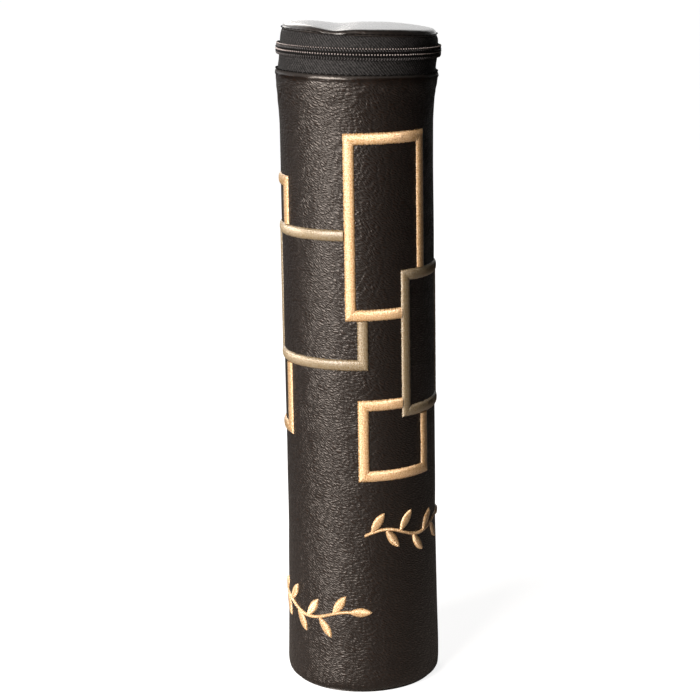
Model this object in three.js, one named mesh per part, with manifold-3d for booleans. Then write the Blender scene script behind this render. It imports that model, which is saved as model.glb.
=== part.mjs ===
// A cylindrical zip-topped case for a scroll: a card tube in a leatherette sleeve, a padded lid that
// hangs on a tab at the back, and a coil zip that closes the lid all the way round the rim.
// Millimetres, +Z up. The origin is the centre of the base on the floor, the embroidered front faces -Y
// and the lid's hinge is at +Y. Bearings are radians from the front, growing towards +X.

import * as THREE from 'three';
import { TessellateModifier } from 'three/addons/modifiers/TessellateModifier.js';
import { mergeVertices } from 'three/addons/utils/BufferGeometryUtils.js';
import Module from 'manifold-3d';

const wasm = await Module();
wasm.setup();

// Driving dimensions of the case
const SLEEVE_RADIUS = 38;
const SLEEVE_HEIGHT = 312.5;
const LEATHER = 1;
const RIM_SWELL_DEPTH = 2.3;
const RIM_SWELL_LENGTH = 27;
const FOOT_SWELL_DEPTH = 1.4;
const FOOT_SWELL_HEIGHT = 8;
const FOOT_SWELL_LENGTH = 75;
const BASE_COVER_INSET = 1.4;
const HEM_WIDTH = 7;
const TUBE_WALL = 2;
const TUBE_BELOW_RIM = 1.2;
const BOARD = 2;
const LINING = 0.8;
const FIT_GAP = 0.3;
const SEAM_LAP_WIDTH = 9;
const SEAM_LAP_STEP = 0.5;

// Driving dimensions of the zip
const ZIP_ABOVE_RIM = 10;
const TAPE = 0.5;
const TAPE_SLOT = 2.4;
const TAPE_SEAM_DEPTH = 9;
const TOOTH_PITCH = 1.45;
const CHAIN_HEIGHT = 6;
const CHAIN_DEPTH = 1.35;
const CHAIN_ROUNDING = 0.45;
const HEEL_BAND = 0.7;
const HEAD_REACH_LENGTH = 0.85;
const NECK_WIDTH = 0.4;
const HEAD_WIDTH = 0.66;
const TEETH_PER_CELL = 4;
const CHAIN_END_GAP = 1.5;

// Driving dimensions of the lid and its hinge
const LID_EDGE_ABOVE_ZIP = 8.2;
const LID_HEIGHT = 3.9;
const LID_EDGE_RADIUS = 38.1;
const LID_LEATHER = 0.8;
const LID_SHOULDER = 2.4;
const LID_CROWN = 0.7;
const LID_DENT = { place: -10, skew: 0.085, halfWidth: 7.5, depth: 1.15 };
const LEFT_SWELLING = { place: -26, skew: 0, halfWidth: 7, depth: -0.35 };
const RIGHT_SWELLING = { place: 18, skew: 0, halfWidth: 11, depth: -0.35 };
const LID_TAPE_TUCK = 3.5;
const LID_TAPE_OVERLAP = 0.7;
const LID_BOARD = 1.8;
const LID_LINING = 0.6;
const LID_LINING_ABOVE_ZIP = 4.8;
const LID_HEM = 1.5;
const TAB_WIDTH = 31;
const TAB_LEATHER = 0.9;
const TAB_BELOW_RIM = 13;
const TAB_ON_LID = 0.9;
const TAPE_UNDER_TAB = 4.5;
const FREE_TAPE_LENGTH = 20;
const HINGE_LINING_WIDTH = 26;
const HINGE_LINING = 0.5;

// Driving dimensions of the slider and its pull
const SLIDER_LENGTH = 11;
const SLIDER_HEIGHT = 8.4;
const SLIDER_MOUTH_HEIGHT = 9.2;
const SLIDER_PLATE = 1;
const SLIDER_PARK_GAP = 5.2;
const SLIDER_CORNER = 1.6;
const SLIDER_INNER_CLEARANCE = 0.7;
const POST_LENGTH = 1.7;
const POST_WIDTH = 1.8;
const POST_SETBACK = 0.5;
const CROWN_LENGTH = 7.6;
const CROWN_WIDTH = 1.3;
const CROWN_LEG = 1;
const CROWN_STRAP = 0.5;
const BAR_RADIUS = 0.55;
const EYE_CLEARANCE = 0.3;
const EYE_WALL = 0.7;
const PULL_LENGTH = 21;
const PULL_WIDTH = 6.6;
const PULL_NECK_WIDTH = 4;
const PULL_THICKNESS = 1.2;
const PULL_SLOT_LENGTH = 7;
const PULL_SLOT_WIDTH = 2.4;

// Driving dimensions of the embroidery: arc lengths run round the sleeve from the front
const THREAD_HEIGHT = 0.8;
const BAR_WIDTH = 5.9;
const BAR_STEP = 6;
const FRAME_WIDTH = 45.6;
const TALL_FRAME = { left: -7.3, topShare: 0.91264, height: 91.9 };
const SMALL_FRAME = { left: -1.7, topShare: 0.49216, width: 42.2, height: 42.1 };
const RIGHT_FRAME = { left: 21.7, topShare: 0.69632, height: 74.3 };
const LEFT_FRAME = { right: 4.5, topShare: 0.76352, width: 70.5, height: 70.1 };
const BACK_FRAME = { right: -42, topShare: 0.84032, height: 131.1 };
const UPPER_SPRIG = { left: 1, right: 63, middleShare: 0.2688 };
const LOWER_SPRIG = { left: -66, right: 4.5, middleShare: 0.1312 };
const STEM_WIDTH = 1.7;
const STEM_WAVE = 2.6;
const LEAF_LENGTH = 12.5;
const LEAF_WIDTH = 4.8;
const LEAF_SPACING = 7.8;

// How far a cutting shape runs past what it cuts
const CUT_OVERRUN = 1;

// Finenesses, counts and shapes without a length
const ROUND_STEPS = 54;
const INNER_STEPS = 48;
const CORNER_STEPS = 3;
const BAR_STEPS = 12;
const EYE_STEPS = 9;
const PULL_END_STEPS = 6;
const LEAF_STEPS = 4;
const RIM_SWELL_POWER = 1.4;
const FOOT_SWELL_POWER = 1.3;
const STEM_WAVES = 1.5;
const LEAF_LEAN = 0.95;
const LEAF_BELLY_SHARE = 0.45;
const FIRST_LEAF_SHARE = 0.4;
const PULL_NECK_EYES = 2;
const LID_RING_SHARES = [0.17, 0.34, 0.5, 0.67, 0.84];

// Radii and heights that follow from them
const sleeveInner = SLEEVE_RADIUS - LEATHER;
const tubeOuter = sleeveInner - FIT_GAP;
const tubeInner = tubeOuter - TUBE_WALL;
const liningOuter = tubeInner - FIT_GAP;
const liningInner = liningOuter - LINING;
const hemBottom = LEATHER + FIT_GAP;
const hemTop = hemBottom + LEATHER;
const boardBottom = hemTop + FIT_GAP;
const floorBottom = boardBottom + BOARD + FIT_GAP;
const tubeTop = SLEEVE_HEIGHT - TUBE_BELOW_RIM;
const zipHeight = SLEEVE_HEIGHT + ZIP_ABOVE_RIM;
const rimOuter = SLEEVE_RADIUS + RIM_SWELL_DEPTH;
const tapeOuter = rimOuter - LEATHER - FIT_GAP;
const tapeInner = tapeOuter - TAPE;
const chainInner = tapeOuter + FIT_GAP;
const chainOuter = chainInner + CHAIN_DEPTH;
const chainRadius = (chainInner + chainOuter) / 2;
const lidEdge = zipHeight + LID_EDGE_ABOVE_ZIP;
const lidTop = lidEdge + LID_HEIGHT;
const lidWallInner = LID_EDGE_RADIUS - LID_LEATHER;
const lidLiningBottom = zipHeight + LID_LINING_ABOVE_ZIP;
const lidLiningRadius = lidWallInner - FIT_GAP - TAPE - FIT_GAP;
const hingeRadius = tapeOuter + LEATHER + TAB_LEATHER / 2;
const tabHalf = TAB_WIDTH / 2 / hingeRadius;
const tapeEnd = Math.PI - tabHalf + TAPE_UNDER_TAB / hingeRadius;
const freeTapeStart = Math.PI - tabHalf - FREE_TAPE_LENGTH / hingeRadius;
const parkBearing = Math.PI - tabHalf - (SLIDER_PARK_GAP + SLIDER_LENGTH / 2) / hingeRadius;

const LEATHERETTE = { color: 0x2b2421, roughness: 0.5, metalness: 0 };
const CARD = { color: 0x9a8362, roughness: 0.9, metalness: 0 };
const SATIN_LINING = { color: 0x22201f, roughness: 0.7, metalness: 0 };
const FOAM = { color: 0xd9d6c8, roughness: 0.95, metalness: 0 };
const TAPE_CLOTH = { color: 0x232324, roughness: 0.85, metalness: 0 };
const NYLON = { color: 0x1a1a1c, roughness: 0.35, metalness: 0 };
const GOLD_THREAD = { color: 0xd9a766, roughness: 0.45, metalness: 0 };
const CHAMPAGNE_THREAD = { color: 0xb7a583, roughness: 0.45, metalness: 0 };
const NICKEL = { color: 0x9b9b9b, roughness: 0.3, metalness: 1 };

const part = new THREE.Group();

function place(name, geometry, finish, parent = part) {
  const mesh = new THREE.Mesh(geometry, new THREE.MeshStandardMaterial(finish));
  mesh.name = name;
  parent.add(mesh);
  return mesh;
}

// Geometry helpers

function cylinderPoint(radius, bearing, height) {
  return [radius * Math.sin(bearing), -radius * Math.cos(bearing), height];
}

function indexed(points, triangles) {
  const geometry = new THREE.BufferGeometry();
  geometry.setAttribute('position', new THREE.Float32BufferAttribute(points.flat(), 3));
  geometry.setIndex(triangles.flat());
  return geometry;
}

function toSolid(geometry) {
  const bare = geometry.clone();
  bare.deleteAttribute('normal');
  bare.deleteAttribute('uv');
  const merged = mergeVertices(bare);
  const mesh = new wasm.Mesh({
    numProp: 3,
    vertProperties: new Float32Array(merged.attributes.position.array),
    triVerts: new Uint32Array(merged.index.array),
  });
  return new wasm.Manifold(mesh);
}

function toGeometry(solid) {
  const mesh = solid.getMesh();
  const geometry = new THREE.BufferGeometry();
  geometry.setAttribute('position', new THREE.BufferAttribute(mesh.vertProperties, 3));
  geometry.setIndex(new THREE.BufferAttribute(mesh.triVerts, 1));
  return geometry;
}

// A full turn of an outline of [radius, height] points, listed upwards on the outside.
function turned(outline, steps = ROUND_STEPS) {
  const points = outline.map(([radius, height]) => new THREE.Vector2(radius, height));
  if (outline[0][0] > 0) {
    points.push(points[0].clone());
  }
  return new THREE.LatheGeometry(points, steps).rotateX(Math.PI / 2);
}

function disc(radius, bottom, thickness, steps = INNER_STEPS) {
  const geometry = new THREE.CylinderGeometry(radius, radius, thickness, steps);
  return geometry.rotateX(Math.PI / 2).translate(0, 0, bottom + thickness / 2);
}

function ring(outer, inner, bottom, top) {
  return turned([[outer, bottom], [outer, top], [inner, top], [inner, bottom]], INNER_STEPS);
}

// Part of a turn of the same kind of outline, between two bearings, with its ends closed.
function arcStrip(outline, from, to) {
  const steps = Math.max(2, Math.round((to - from) / (2 * Math.PI) * ROUND_STEPS));
  const count = outline.length;
  const points = [];
  const triangles = [];
  for (let i = 0; i <= steps; i++) {
    const bearing = from + (to - from) * i / steps;
    outline.forEach(([radius, height]) => points.push(cylinderPoint(radius, bearing, height)));
  }
  for (let i = 0; i < steps; i++) {
    for (let j = 0; j < count; j++) {
      const a = i * count + j;
      const b = i * count + (j + 1) % count;
      triangles.push([a, a + count, b + count], [a, b + count, b]);
    }
  }
  const flat = outline.map(([radius, height]) => new THREE.Vector2(radius, height));
  const last = steps * count;
  for (const [a, b, c] of THREE.ShapeUtils.triangulateShape(flat, [])) {
    triangles.push([a, b, c], [last + c, last + b, last + a]);
  }
  return indexed(points, triangles);
}

// The sleeve's form

// Outside radius of the sleeve: straight, swelling to its rim and to its foot.
function sleeveRadius(height) {
  const rim = (height - SLEEVE_HEIGHT + RIM_SWELL_LENGTH) / RIM_SWELL_LENGTH;
  const foot = 1 - (height - FOOT_SWELL_HEIGHT) / FOOT_SWELL_LENGTH;
  const rimSwell = RIM_SWELL_DEPTH * Math.max(0, rim) ** RIM_SWELL_POWER;
  const footSwell = FOOT_SWELL_DEPTH * Math.min(1, Math.max(0, foot)) ** FOOT_SWELL_POWER;
  return SLEEVE_RADIUS + rimSwell + footSwell;
}

function sleeveOutline() {
  const footShares = [0, 0.45, 1];
  const rimShares = [0, 0.4, 0.7, 1];
  const innerRimShares = [1, 0.5, 0];
  const footRadius = SLEEVE_RADIUS + FOOT_SWELL_DEPTH;
  const cornerShares = [[0, 0], [0.62, 0.12], [0.95, 0.5]];
  const baseRadius = SLEEVE_RADIUS - BASE_COVER_INSET;
  const corner = cornerShares.map(([outward, upward]) => [
    baseRadius + (footRadius - baseRadius) * outward,
    hemBottom + (FOOT_SWELL_HEIGHT - hemBottom) * upward,
  ]);
  const foot = footShares.map((share) => FOOT_SWELL_HEIGHT + FOOT_SWELL_LENGTH * share);
  const rim = (shares) => shares.map((share) => SLEEVE_HEIGHT + RIM_SWELL_LENGTH * (share - 1));
  const outside = [...foot, ...rim(rimShares)].map((height) => [sleeveRadius(height), height]);
  const inside = [...rim(innerRimShares), FOOT_SWELL_HEIGHT + FOOT_SWELL_LENGTH, FOOT_SWELL_HEIGHT]
    .map((height) => [sleeveRadius(height) - LEATHER, height]);
  const hemEdge = baseRadius - HEM_WIDTH;
  return [[hemEdge, hemBottom], ...corner, ...outside, ...inside, [sleeveInner, hemTop], [hemEdge, hemTop]];
}

// The sheet is lapped at the back, so its outside steps out by the edge of the lap.
function lapSeam(geometry) {
  const position = geometry.attributes.position;
  const lapHalf = SEAM_LAP_WIDTH / 2 / SLEEVE_RADIUS;
  for (let i = 0; i < position.count; i++) {
    const x = position.getX(i);
    const y = position.getY(i);
    const radius = Math.hypot(x, y);
    const offRear = Math.abs(Math.atan2(x, y));
    const outside = radius > sleeveRadius(position.getZ(i)) - LEATHER / 2;
    if (outside && offRear < lapHalf && position.getZ(i) >= FOOT_SWELL_HEIGHT) {
      const scale = 1 + SEAM_LAP_STEP / radius;
      position.setXY(i, x * scale, y * scale);
    }
  }
  return geometry;
}

function addBody() {
  place('body_cover', lapSeam(turned(sleeveOutline())), LEATHERETTE);
  place('body_tube', ring(tubeOuter, tubeInner, boardBottom, tubeTop), CARD);
  place('body_lining', ring(liningOuter, liningInner, floorBottom, tubeTop), SATIN_LINING);
  place('base_board', disc(liningOuter, boardBottom, BOARD), CARD);
  place('base_lining', disc(liningInner - FIT_GAP, floorBottom, LINING), SATIN_LINING);
  place('base_cover', disc(SLEEVE_RADIUS - BASE_COVER_INSET, 0, LEATHER, ROUND_STEPS), LEATHERETTE);
}

// The zip

function bodyTapeOutline() {
  const edge = zipHeight - TAPE_SLOT / 2;
  const seam = SLEEVE_HEIGHT - TAPE_SEAM_DEPTH;
  const seamOuter = sleeveRadius(seam) - LEATHER - FIT_GAP;
  return [
    [seamOuter, seam], [tapeOuter, SLEEVE_HEIGHT], [tapeOuter, edge],
    [tapeInner, edge], [tapeInner, SLEEVE_HEIGHT], [seamOuter - TAPE, seam],
  ];
}

function lidTapeOutline() {
  const edge = zipHeight + TAPE_SLOT / 2;
  const tuck = lidEdge - FIT_GAP * 2;
  const straight = tuck - LID_TAPE_TUCK;
  const top = lidEdge + LID_TAPE_OVERLAP;
  const tuckOuter = lidWallInner - FIT_GAP;
  return [
    [tapeOuter, edge], [tapeOuter, straight], [tuckOuter, tuck], [tuckOuter, top],
    [tuckOuter - TAPE, top], [tuckOuter - TAPE, tuck], [tapeInner, straight], [tapeInner, edge],
  ];
}

// One half of the interlocked chain. Each tooth is a dovetail on the heel band, narrow at its neck and
// wide at its head, and the heads of each half fill the gaps between the necks of the other half.
// side is 1 for the half on the lower tape, whose teeth point up, and -1 for the upper one.
function chainHalf(from, cells, side) {
  const heel = CHAIN_HEIGHT / 2;
  const bandTop = heel - HEEL_BAND;
  const cellWidth = TEETH_PER_CELL * TOOTH_PITCH;
  const outline = [[0, heel], [cellWidth, heel], [cellWidth, bandTop]];
  for (let tooth = TEETH_PER_CELL - 1; tooth >= 0; tooth--) {
    const middle = (tooth + 0.5) * TOOTH_PITCH;
    outline.push([middle + NECK_WIDTH / 2, bandTop], [middle + HEAD_WIDTH / 2, -HEAD_REACH_LENGTH]);
    outline.push([middle - HEAD_WIDTH / 2, -HEAD_REACH_LENGTH], [middle - NECK_WIDTH / 2, bandTop]);
  }
  outline.push([0, bandTop]);
  const faces = THREE.ShapeUtils.triangulateShape(outline.map(([u, v]) => new THREE.Vector2(u, v)), []);
  const count = outline.length;
  const points = [];
  const triangles = [];
  const push = (a, b, c) => triangles.push(side > 0 ? [a, b, c] : [c, b, a]);
  for (let cell = 0; cell < cells; cell++) {
    const base = points.length;
    for (const top of [false, true]) {
      for (const [along, drop] of outline) {
        const bearing = from + (cell * cellWidth + along) / chainRadius;
        const rounding = drop === bandTop ? 0 : CHAIN_ROUNDING;
        const radius = top ? chainOuter - rounding : chainInner;
        points.push(cylinderPoint(radius, bearing, zipHeight - side * drop));
      }
    }
    for (const [a, b, c] of faces) {
      push(base + a, base + b, base + c);
      push(base + count + c, base + count + b, base + count + a);
    }
    for (let j = 0; j < count; j++) {
      const next = (j + 1) % count;
      const firstEnd = next === 0 && cell > 0;
      const lastEnd = j === 1 && cell < cells - 1;
      if (!firstEnd && !lastEnd) {
        push(base + j, base + next, base + count + next);
        push(base + j, base + count + next, base + count + j);
      }
    }
  }
  return indexed(points, triangles);
}

function addZip() {
  const start = -Math.PI + tabHalf + CHAIN_END_GAP / hingeRadius;
  const postBack = SLIDER_LENGTH / 2 - POST_SETBACK - POST_LENGTH - FIT_GAP;
  const end = parkBearing + postBack / chainRadius;
  const halfPitch = TOOTH_PITCH / 2 / chainRadius;
  const cellAngle = TEETH_PER_CELL * TOOTH_PITCH / chainRadius;
  const cells = Math.floor((end - start - halfPitch) / cellAngle);
  place('body_tape', arcStrip(bodyTapeOutline(), -tapeEnd, tapeEnd), TAPE_CLOTH);
  place('body_coil', chainHalf(start, cells, 1), NYLON);
  place('lid_tape', arcStrip(lidTapeOutline(), -freeTapeStart, freeTapeStart), TAPE_CLOTH);
  const split = FIT_GAP / tapeOuter;
  place('lid_tape_end_left', arcStrip(lidTapeOutline(), -tapeEnd, -freeTapeStart - split), TAPE_CLOTH);
  place('lid_tape_end_right', arcStrip(lidTapeOutline(), freeTapeStart + split, tapeEnd), TAPE_CLOTH);
  place('lid_coil', chainHalf(start + halfPitch, cells, -1), NYLON);
}

// The lid and its hinge

// The padding is dented across the lid and swells on both sides of the dent.
function cushioned(geometry) {
  const position = geometry.attributes.position;
  const wallTop = lidTop - LID_CROWN - LID_SHOULDER;
  for (let i = 0; i < position.count; i++) {
    const x = position.getX(i);
    const y = position.getY(i);
    const z = position.getZ(i);
    const share = Math.min(1, Math.max(0, (z - wallTop) / LID_SHOULDER));
    const sunk = [LID_DENT, LEFT_SWELLING, RIGHT_SWELLING].reduce((sum, form) => (
      sum + form.depth * Math.exp(-(((x - form.place - form.skew * y) / form.halfWidth) ** 2))
    ), 0);
    position.setZ(i, z - sunk * share);
  }
  return geometry;
}

function lidCoverOutline() {
  const shoulderShares = [[0, 0], [0.55, 0.14], [0.88, 0.5], [1, 1]];
  const flatRadius = LID_EDGE_RADIUS - LID_SHOULDER;
  const innerTop = lidTop - LID_CROWN - LID_LEATHER;
  const shoulder = shoulderShares.map(([outward, downward]) => [
    flatRadius + LID_SHOULDER * outward,
    lidTop - LID_CROWN - LID_SHOULDER * downward,
  ]);
  const crown = [0, ...LID_RING_SHARES].map((share) => [
    flatRadius * share,
    lidTop - LID_CROWN * share ** 2,
  ]);
  const innerShoulder = LID_SHOULDER - LID_LEATHER;
  const innerFlat = lidWallInner - innerShoulder;
  return [
    ...[0, ...LID_RING_SHARES, 1].map((share) => [innerFlat * share, innerTop]),
    [lidWallInner, innerTop - innerShoulder], [lidWallInner, lidEdge],
    [LID_EDGE_RADIUS, lidEdge], ...shoulder.reverse(), ...crown.reverse(),
  ];
}

function addLid() {
  const boardRadius = lidLiningRadius - LID_LINING - FIT_GAP;
  const lidBoardBottom = lidLiningBottom + LID_LINING + FIT_GAP;
  const padBottom = lidBoardBottom + LID_BOARD + FIT_GAP;
  const padTop = lidTop - LID_CROWN - LID_LEATHER - FIT_GAP;
  const padShoulder = LID_SHOULDER / 2;
  const padRings = [...LID_RING_SHARES, 1].map((share) => [(boardRadius - padShoulder) * share, padTop]);
  place('lid_cover', cushioned(turned(lidCoverOutline())), LEATHERETTE);
  place('lid_padding', cushioned(turned([
    [0, padBottom], [boardRadius, padBottom], [boardRadius, padTop - padShoulder],
    ...padRings.reverse(), [0, padTop],
  ], INNER_STEPS)), FOAM);
  place('lid_board', disc(boardRadius, lidBoardBottom, LID_BOARD), CARD);
  place('lid_lining', turned([
    [0, lidLiningBottom], [lidLiningRadius, lidLiningBottom],
    [lidLiningRadius, lidLiningBottom + LID_HEM], [lidLiningRadius - LID_LINING, lidLiningBottom + LID_HEM],
    [lidLiningRadius - LID_LINING, lidLiningBottom + LID_LINING], [0, lidLiningBottom + LID_LINING],
  ], INNER_STEPS), SATIN_LINING);
}

// The leatherette tab is sewn over the back of the sleeve and of the lid, and bends at the zip's height.
function hingeTabOutline() {
  const bottom = SLEEVE_HEIGHT - TAB_BELOW_RIM;
  const heights = [bottom, (bottom + SLEEVE_HEIGHT) / 2, SLEEVE_HEIGHT];
  const onSleeve = heights.map((height) => [sleeveRadius(height) + SEAM_LAP_STEP + FIT_GAP, height]);
  const onLid = LID_EDGE_RADIUS + FIT_GAP;
  const inside = [
    ...onSleeve, [hingeRadius - TAB_LEATHER / 2, zipHeight],
    [onLid, lidEdge], [onLid, lidEdge + TAB_ON_LID],
  ];
  const outside = inside.map(([radius, height]) => [radius + TAB_LEATHER, height]);
  return [...outside, ...inside.reverse()];
}

function addHinge() {
  const rear = Math.PI;
  place('hinge_tab', arcStrip(hingeTabOutline(), rear - tabHalf, rear + tabHalf), LEATHERETTE);
  const half = HINGE_LINING_WIDTH / 2 / tapeInner;
  const outer = tapeInner - FIT_GAP;
  const bottom = tubeTop + FIT_GAP;
  const top = lidLiningBottom - FIT_GAP;
  const outline = [
    [outer, bottom], [outer, top], [outer - HINGE_LINING, top], [outer - HINGE_LINING, bottom],
  ];
  place('hinge_lining', arcStrip(outline, rear - half, rear + half), SATIN_LINING);
}

// The slider is built in its own frame: x the way it moves to open the zip, y outwards from the case's
// axis and z up. Its mouth and post lead when it closes, so they are at -x.

function extrudeOutwards(shape, inner, outer, curveSegments = CORNER_STEPS) {
  const geometry = new THREE.ExtrudeGeometry(shape, {
    depth: outer - inner, bevelEnabled: false, curveSegments,
  });
  return geometry.rotateX(Math.PI / 2).translate(0, outer, 0);
}

function box(length, depth, height, x, y, z) {
  return new THREE.BoxGeometry(length, depth, height).translate(x, y, z);
}

// A plate with rounded corners that widens from its tail at +x to its mouth at -x.
function plateShape(tailHeight, mouthHeight) {
  const tail = tailHeight / 2;
  const mouth = mouthHeight / 2;
  const half = SLIDER_LENGTH / 2;
  const shape = new THREE.Shape();
  shape.moveTo(-half + SLIDER_CORNER, -mouth);
  shape.lineTo(0, -tail);
  shape.lineTo(half - SLIDER_CORNER, -tail);
  shape.quadraticCurveTo(half, -tail, half, -tail + SLIDER_CORNER);
  shape.lineTo(half, tail - SLIDER_CORNER);
  shape.quadraticCurveTo(half, tail, half - SLIDER_CORNER, tail);
  shape.lineTo(0, tail);
  shape.lineTo(-half + SLIDER_CORNER, mouth);
  shape.quadraticCurveTo(-half, mouth, -half, mouth - SLIDER_CORNER);
  shape.lineTo(-half, -mouth + SLIDER_CORNER);
  shape.quadraticCurveTo(-half, -mouth, -half + SLIDER_CORNER, -mouth);
  return shape;
}

const innerPlateTop = tapeInner - SLIDER_INNER_CLEARANCE;
const outerPlateBottom = chainOuter + FIT_GAP;
const outerPlateTop = outerPlateBottom + SLIDER_PLATE;
const eyeInner = BAR_RADIUS + EYE_CLEARANCE;
const eyeOuter = eyeInner + EYE_WALL;
const barCentre = outerPlateTop + FIT_GAP + CROWN_STRAP + FIT_GAP + eyeOuter;

function sliderBody() {
  const flangeEdge = chainInner + FIT_GAP / 2;
  const channelHeight = CHAIN_HEIGHT + FIT_GAP * 2;
  const inner = toSolid(extrudeOutwards(
    plateShape(SLIDER_HEIGHT, SLIDER_HEIGHT), innerPlateTop - SLIDER_PLATE, innerPlateTop,
  ));
  const outer = toSolid(extrudeOutwards(
    plateShape(SLIDER_HEIGHT, SLIDER_MOUTH_HEIGHT), flangeEdge, outerPlateTop,
  ));
  const channelDepth = outerPlateBottom - flangeEdge + CUT_OVERRUN;
  const channel = toSolid(box(
    SLIDER_LENGTH + CUT_OVERRUN * 2, channelDepth, channelHeight,
    0, outerPlateBottom - channelDepth / 2, 0,
  ));
  const postBottom = innerPlateTop - SLIDER_PLATE;
  const post = toSolid(box(
    POST_LENGTH, outerPlateTop - postBottom, POST_WIDTH,
    POST_SETBACK + POST_LENGTH / 2 - SLIDER_LENGTH / 2, (outerPlateTop + postBottom) / 2, 0,
  ));
  return toGeometry(outer.subtract(channel).add(inner).add(post));
}

// The crown is an arch along the slider whose round bar carries the pull.
function sliderCrown() {
  const half = CROWN_LENGTH / 2;
  const foot = outerPlateTop + FIT_GAP;
  const legHeight = barCentre - foot;
  const legs = [-1, 1].map((end) => toSolid(box(
    CROWN_LEG, legHeight + BAR_RADIUS, CROWN_WIDTH,
    end * (half - CROWN_LEG / 2), foot + (legHeight + BAR_RADIUS) / 2, 0,
  )));
  const strap = toSolid(box(CROWN_LENGTH, CROWN_STRAP, CROWN_WIDTH, 0, foot + CROWN_STRAP / 2, 0));
  const barLength = CROWN_LENGTH - CROWN_LEG;
  const bar = toSolid(new THREE.CylinderGeometry(BAR_RADIUS, BAR_RADIUS, barLength, BAR_STEPS)
    .rotateZ(Math.PI / 2).translate(0, barCentre, 0));
  return toGeometry(legs[0].add(legs[1]).add(strap).add(bar));
}

// The pull is a strip whose upper end is rolled into an eye round the bar. It hangs at rest.
function pullTab() {
  const side = new THREE.Shape();
  const lower = -Math.sqrt(eyeOuter ** 2 - (PULL_THICKNESS / 2) ** 2);
  const split = Math.acos(PULL_THICKNESS / 2 / eyeOuter);
  side.moveTo(-PULL_THICKNESS / 2, lower);
  side.lineTo(-PULL_THICKNESS / 2, -PULL_LENGTH);
  side.lineTo(PULL_THICKNESS / 2, -PULL_LENGTH);
  side.lineTo(PULL_THICKNESS / 2, lower);
  side.absarc(0, 0, eyeOuter, -split, Math.PI + split, false);
  const hole = new THREE.Path();
  hole.absarc(0, 0, eyeInner, 0, 2 * Math.PI, false);
  side.holes.push(hole);
  const strip = toSolid(new THREE.ExtrudeGeometry(side, {
    depth: PULL_WIDTH, bevelEnabled: false, curveSegments: EYE_STEPS,
  }).rotateX(Math.PI / 2).rotateZ(Math.PI / 2).translate(-PULL_WIDTH / 2, 0, 0));
  const front = new THREE.Shape();
  const neck = PULL_NECK_WIDTH / 2;
  const wide = PULL_WIDTH / 2;
  const neckEnd = -eyeOuter * PULL_NECK_EYES;
  front.moveTo(-neck, eyeOuter + CUT_OVERRUN);
  front.lineTo(-neck, neckEnd);
  front.lineTo(-wide, -PULL_LENGTH / 2);
  front.lineTo(-wide, -PULL_LENGTH + wide);
  front.absarc(0, -PULL_LENGTH + wide, wide, Math.PI, 2 * Math.PI, false);
  front.lineTo(wide, -PULL_LENGTH / 2);
  front.lineTo(neck, neckEnd);
  front.lineTo(neck, eyeOuter + CUT_OVERRUN);
  const slot = new THREE.Path();
  const slotHalf = PULL_SLOT_WIDTH / 2;
  const slotBottom = -PULL_LENGTH + wide;
  slot.absarc(0, slotBottom, slotHalf, Math.PI, 2 * Math.PI, false);
  slot.absarc(0, slotBottom + PULL_SLOT_LENGTH - PULL_SLOT_WIDTH, slotHalf, 0, Math.PI, false);
  front.holes.push(slot);
  const reach = eyeOuter + CUT_OVERRUN;
  const outline = toSolid(extrudeOutwards(front, -reach, reach, PULL_END_STEPS));
  return toGeometry(strip.intersect(outline));
}

// Embroidery

function sleevePoint(along, height, lift) {
  const bearing = along / (SLEEVE_RADIUS + THREAD_HEIGHT / 2);
  return cylinderPoint(sleeveRadius(height) + FIT_GAP + lift, bearing, height);
}

// Sorted places between low and high, with no step between neighbours longer than the longest allowed.
function gridLines(places, low, high, longest = Infinity) {
  const kept = places.filter((place) => place >= low && place <= high).sort((a, b) => a - b);
  const lines = [kept[0]];
  for (let i = 1; i < kept.length; i++) {
    const parts = Math.max(1, Math.ceil((kept[i] - kept[i - 1]) / longest));
    for (let k = 1; k <= parts; k++) {
      lines.push(kept[i - 1] + (kept[i] - kept[i - 1]) * k / parts);
    }
  }
  return lines;
}

// A plate wrapped on the sleeve that fills those cells of a grid for which isFilled says so.
function wrappedPlate(alongs, heights, isFilled) {
  const columns = alongs.length;
  const layer = columns * heights.length;
  const points = [0, THREAD_HEIGHT].flatMap((lift) => heights.flatMap((height) => alongs.map(
    (along) => sleevePoint(along, height, lift),
  )));
  const filled = (column, row) => column >= 0 && row >= 0 && column < columns - 1
    && row < heights.length - 1
    && isFilled((alongs[column] + alongs[column + 1]) / 2, (heights[row] + heights[row + 1]) / 2);
  const triangles = [];
  const wall = (a, b) => triangles.push([a, b, b + layer], [a, b + layer, a + layer]);
  for (let row = 0; row < heights.length - 1; row++) {
    for (let column = 0; column < columns - 1; column++) {
      if (!filled(column, row)) {
        continue;
      }
      const a = row * columns + column;
      const b = a + 1;
      const c = b + columns;
      const d = a + columns;
      triangles.push([a, c, b], [a, d, c]);
      triangles.push([a + layer, b + layer, c + layer], [a + layer, c + layer, d + layer]);
      if (!filled(column, row - 1)) {
        wall(a, b);
      }
      if (!filled(column + 1, row)) {
        wall(b, c);
      }
      if (!filled(column, row + 1)) {
        wall(c, d);
      }
      if (!filled(column - 1, row)) {
        wall(d, a);
      }
    }
  }
  return indexed(points, triangles);
}

function placedFrame({ left, right, topShare, width = FRAME_WIDTH, height }) {
  const start = left ?? right - width;
  const top = SLEEVE_HEIGHT * topShare;
  return { left: start, right: start + width, top, bottom: top - height };
}

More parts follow.
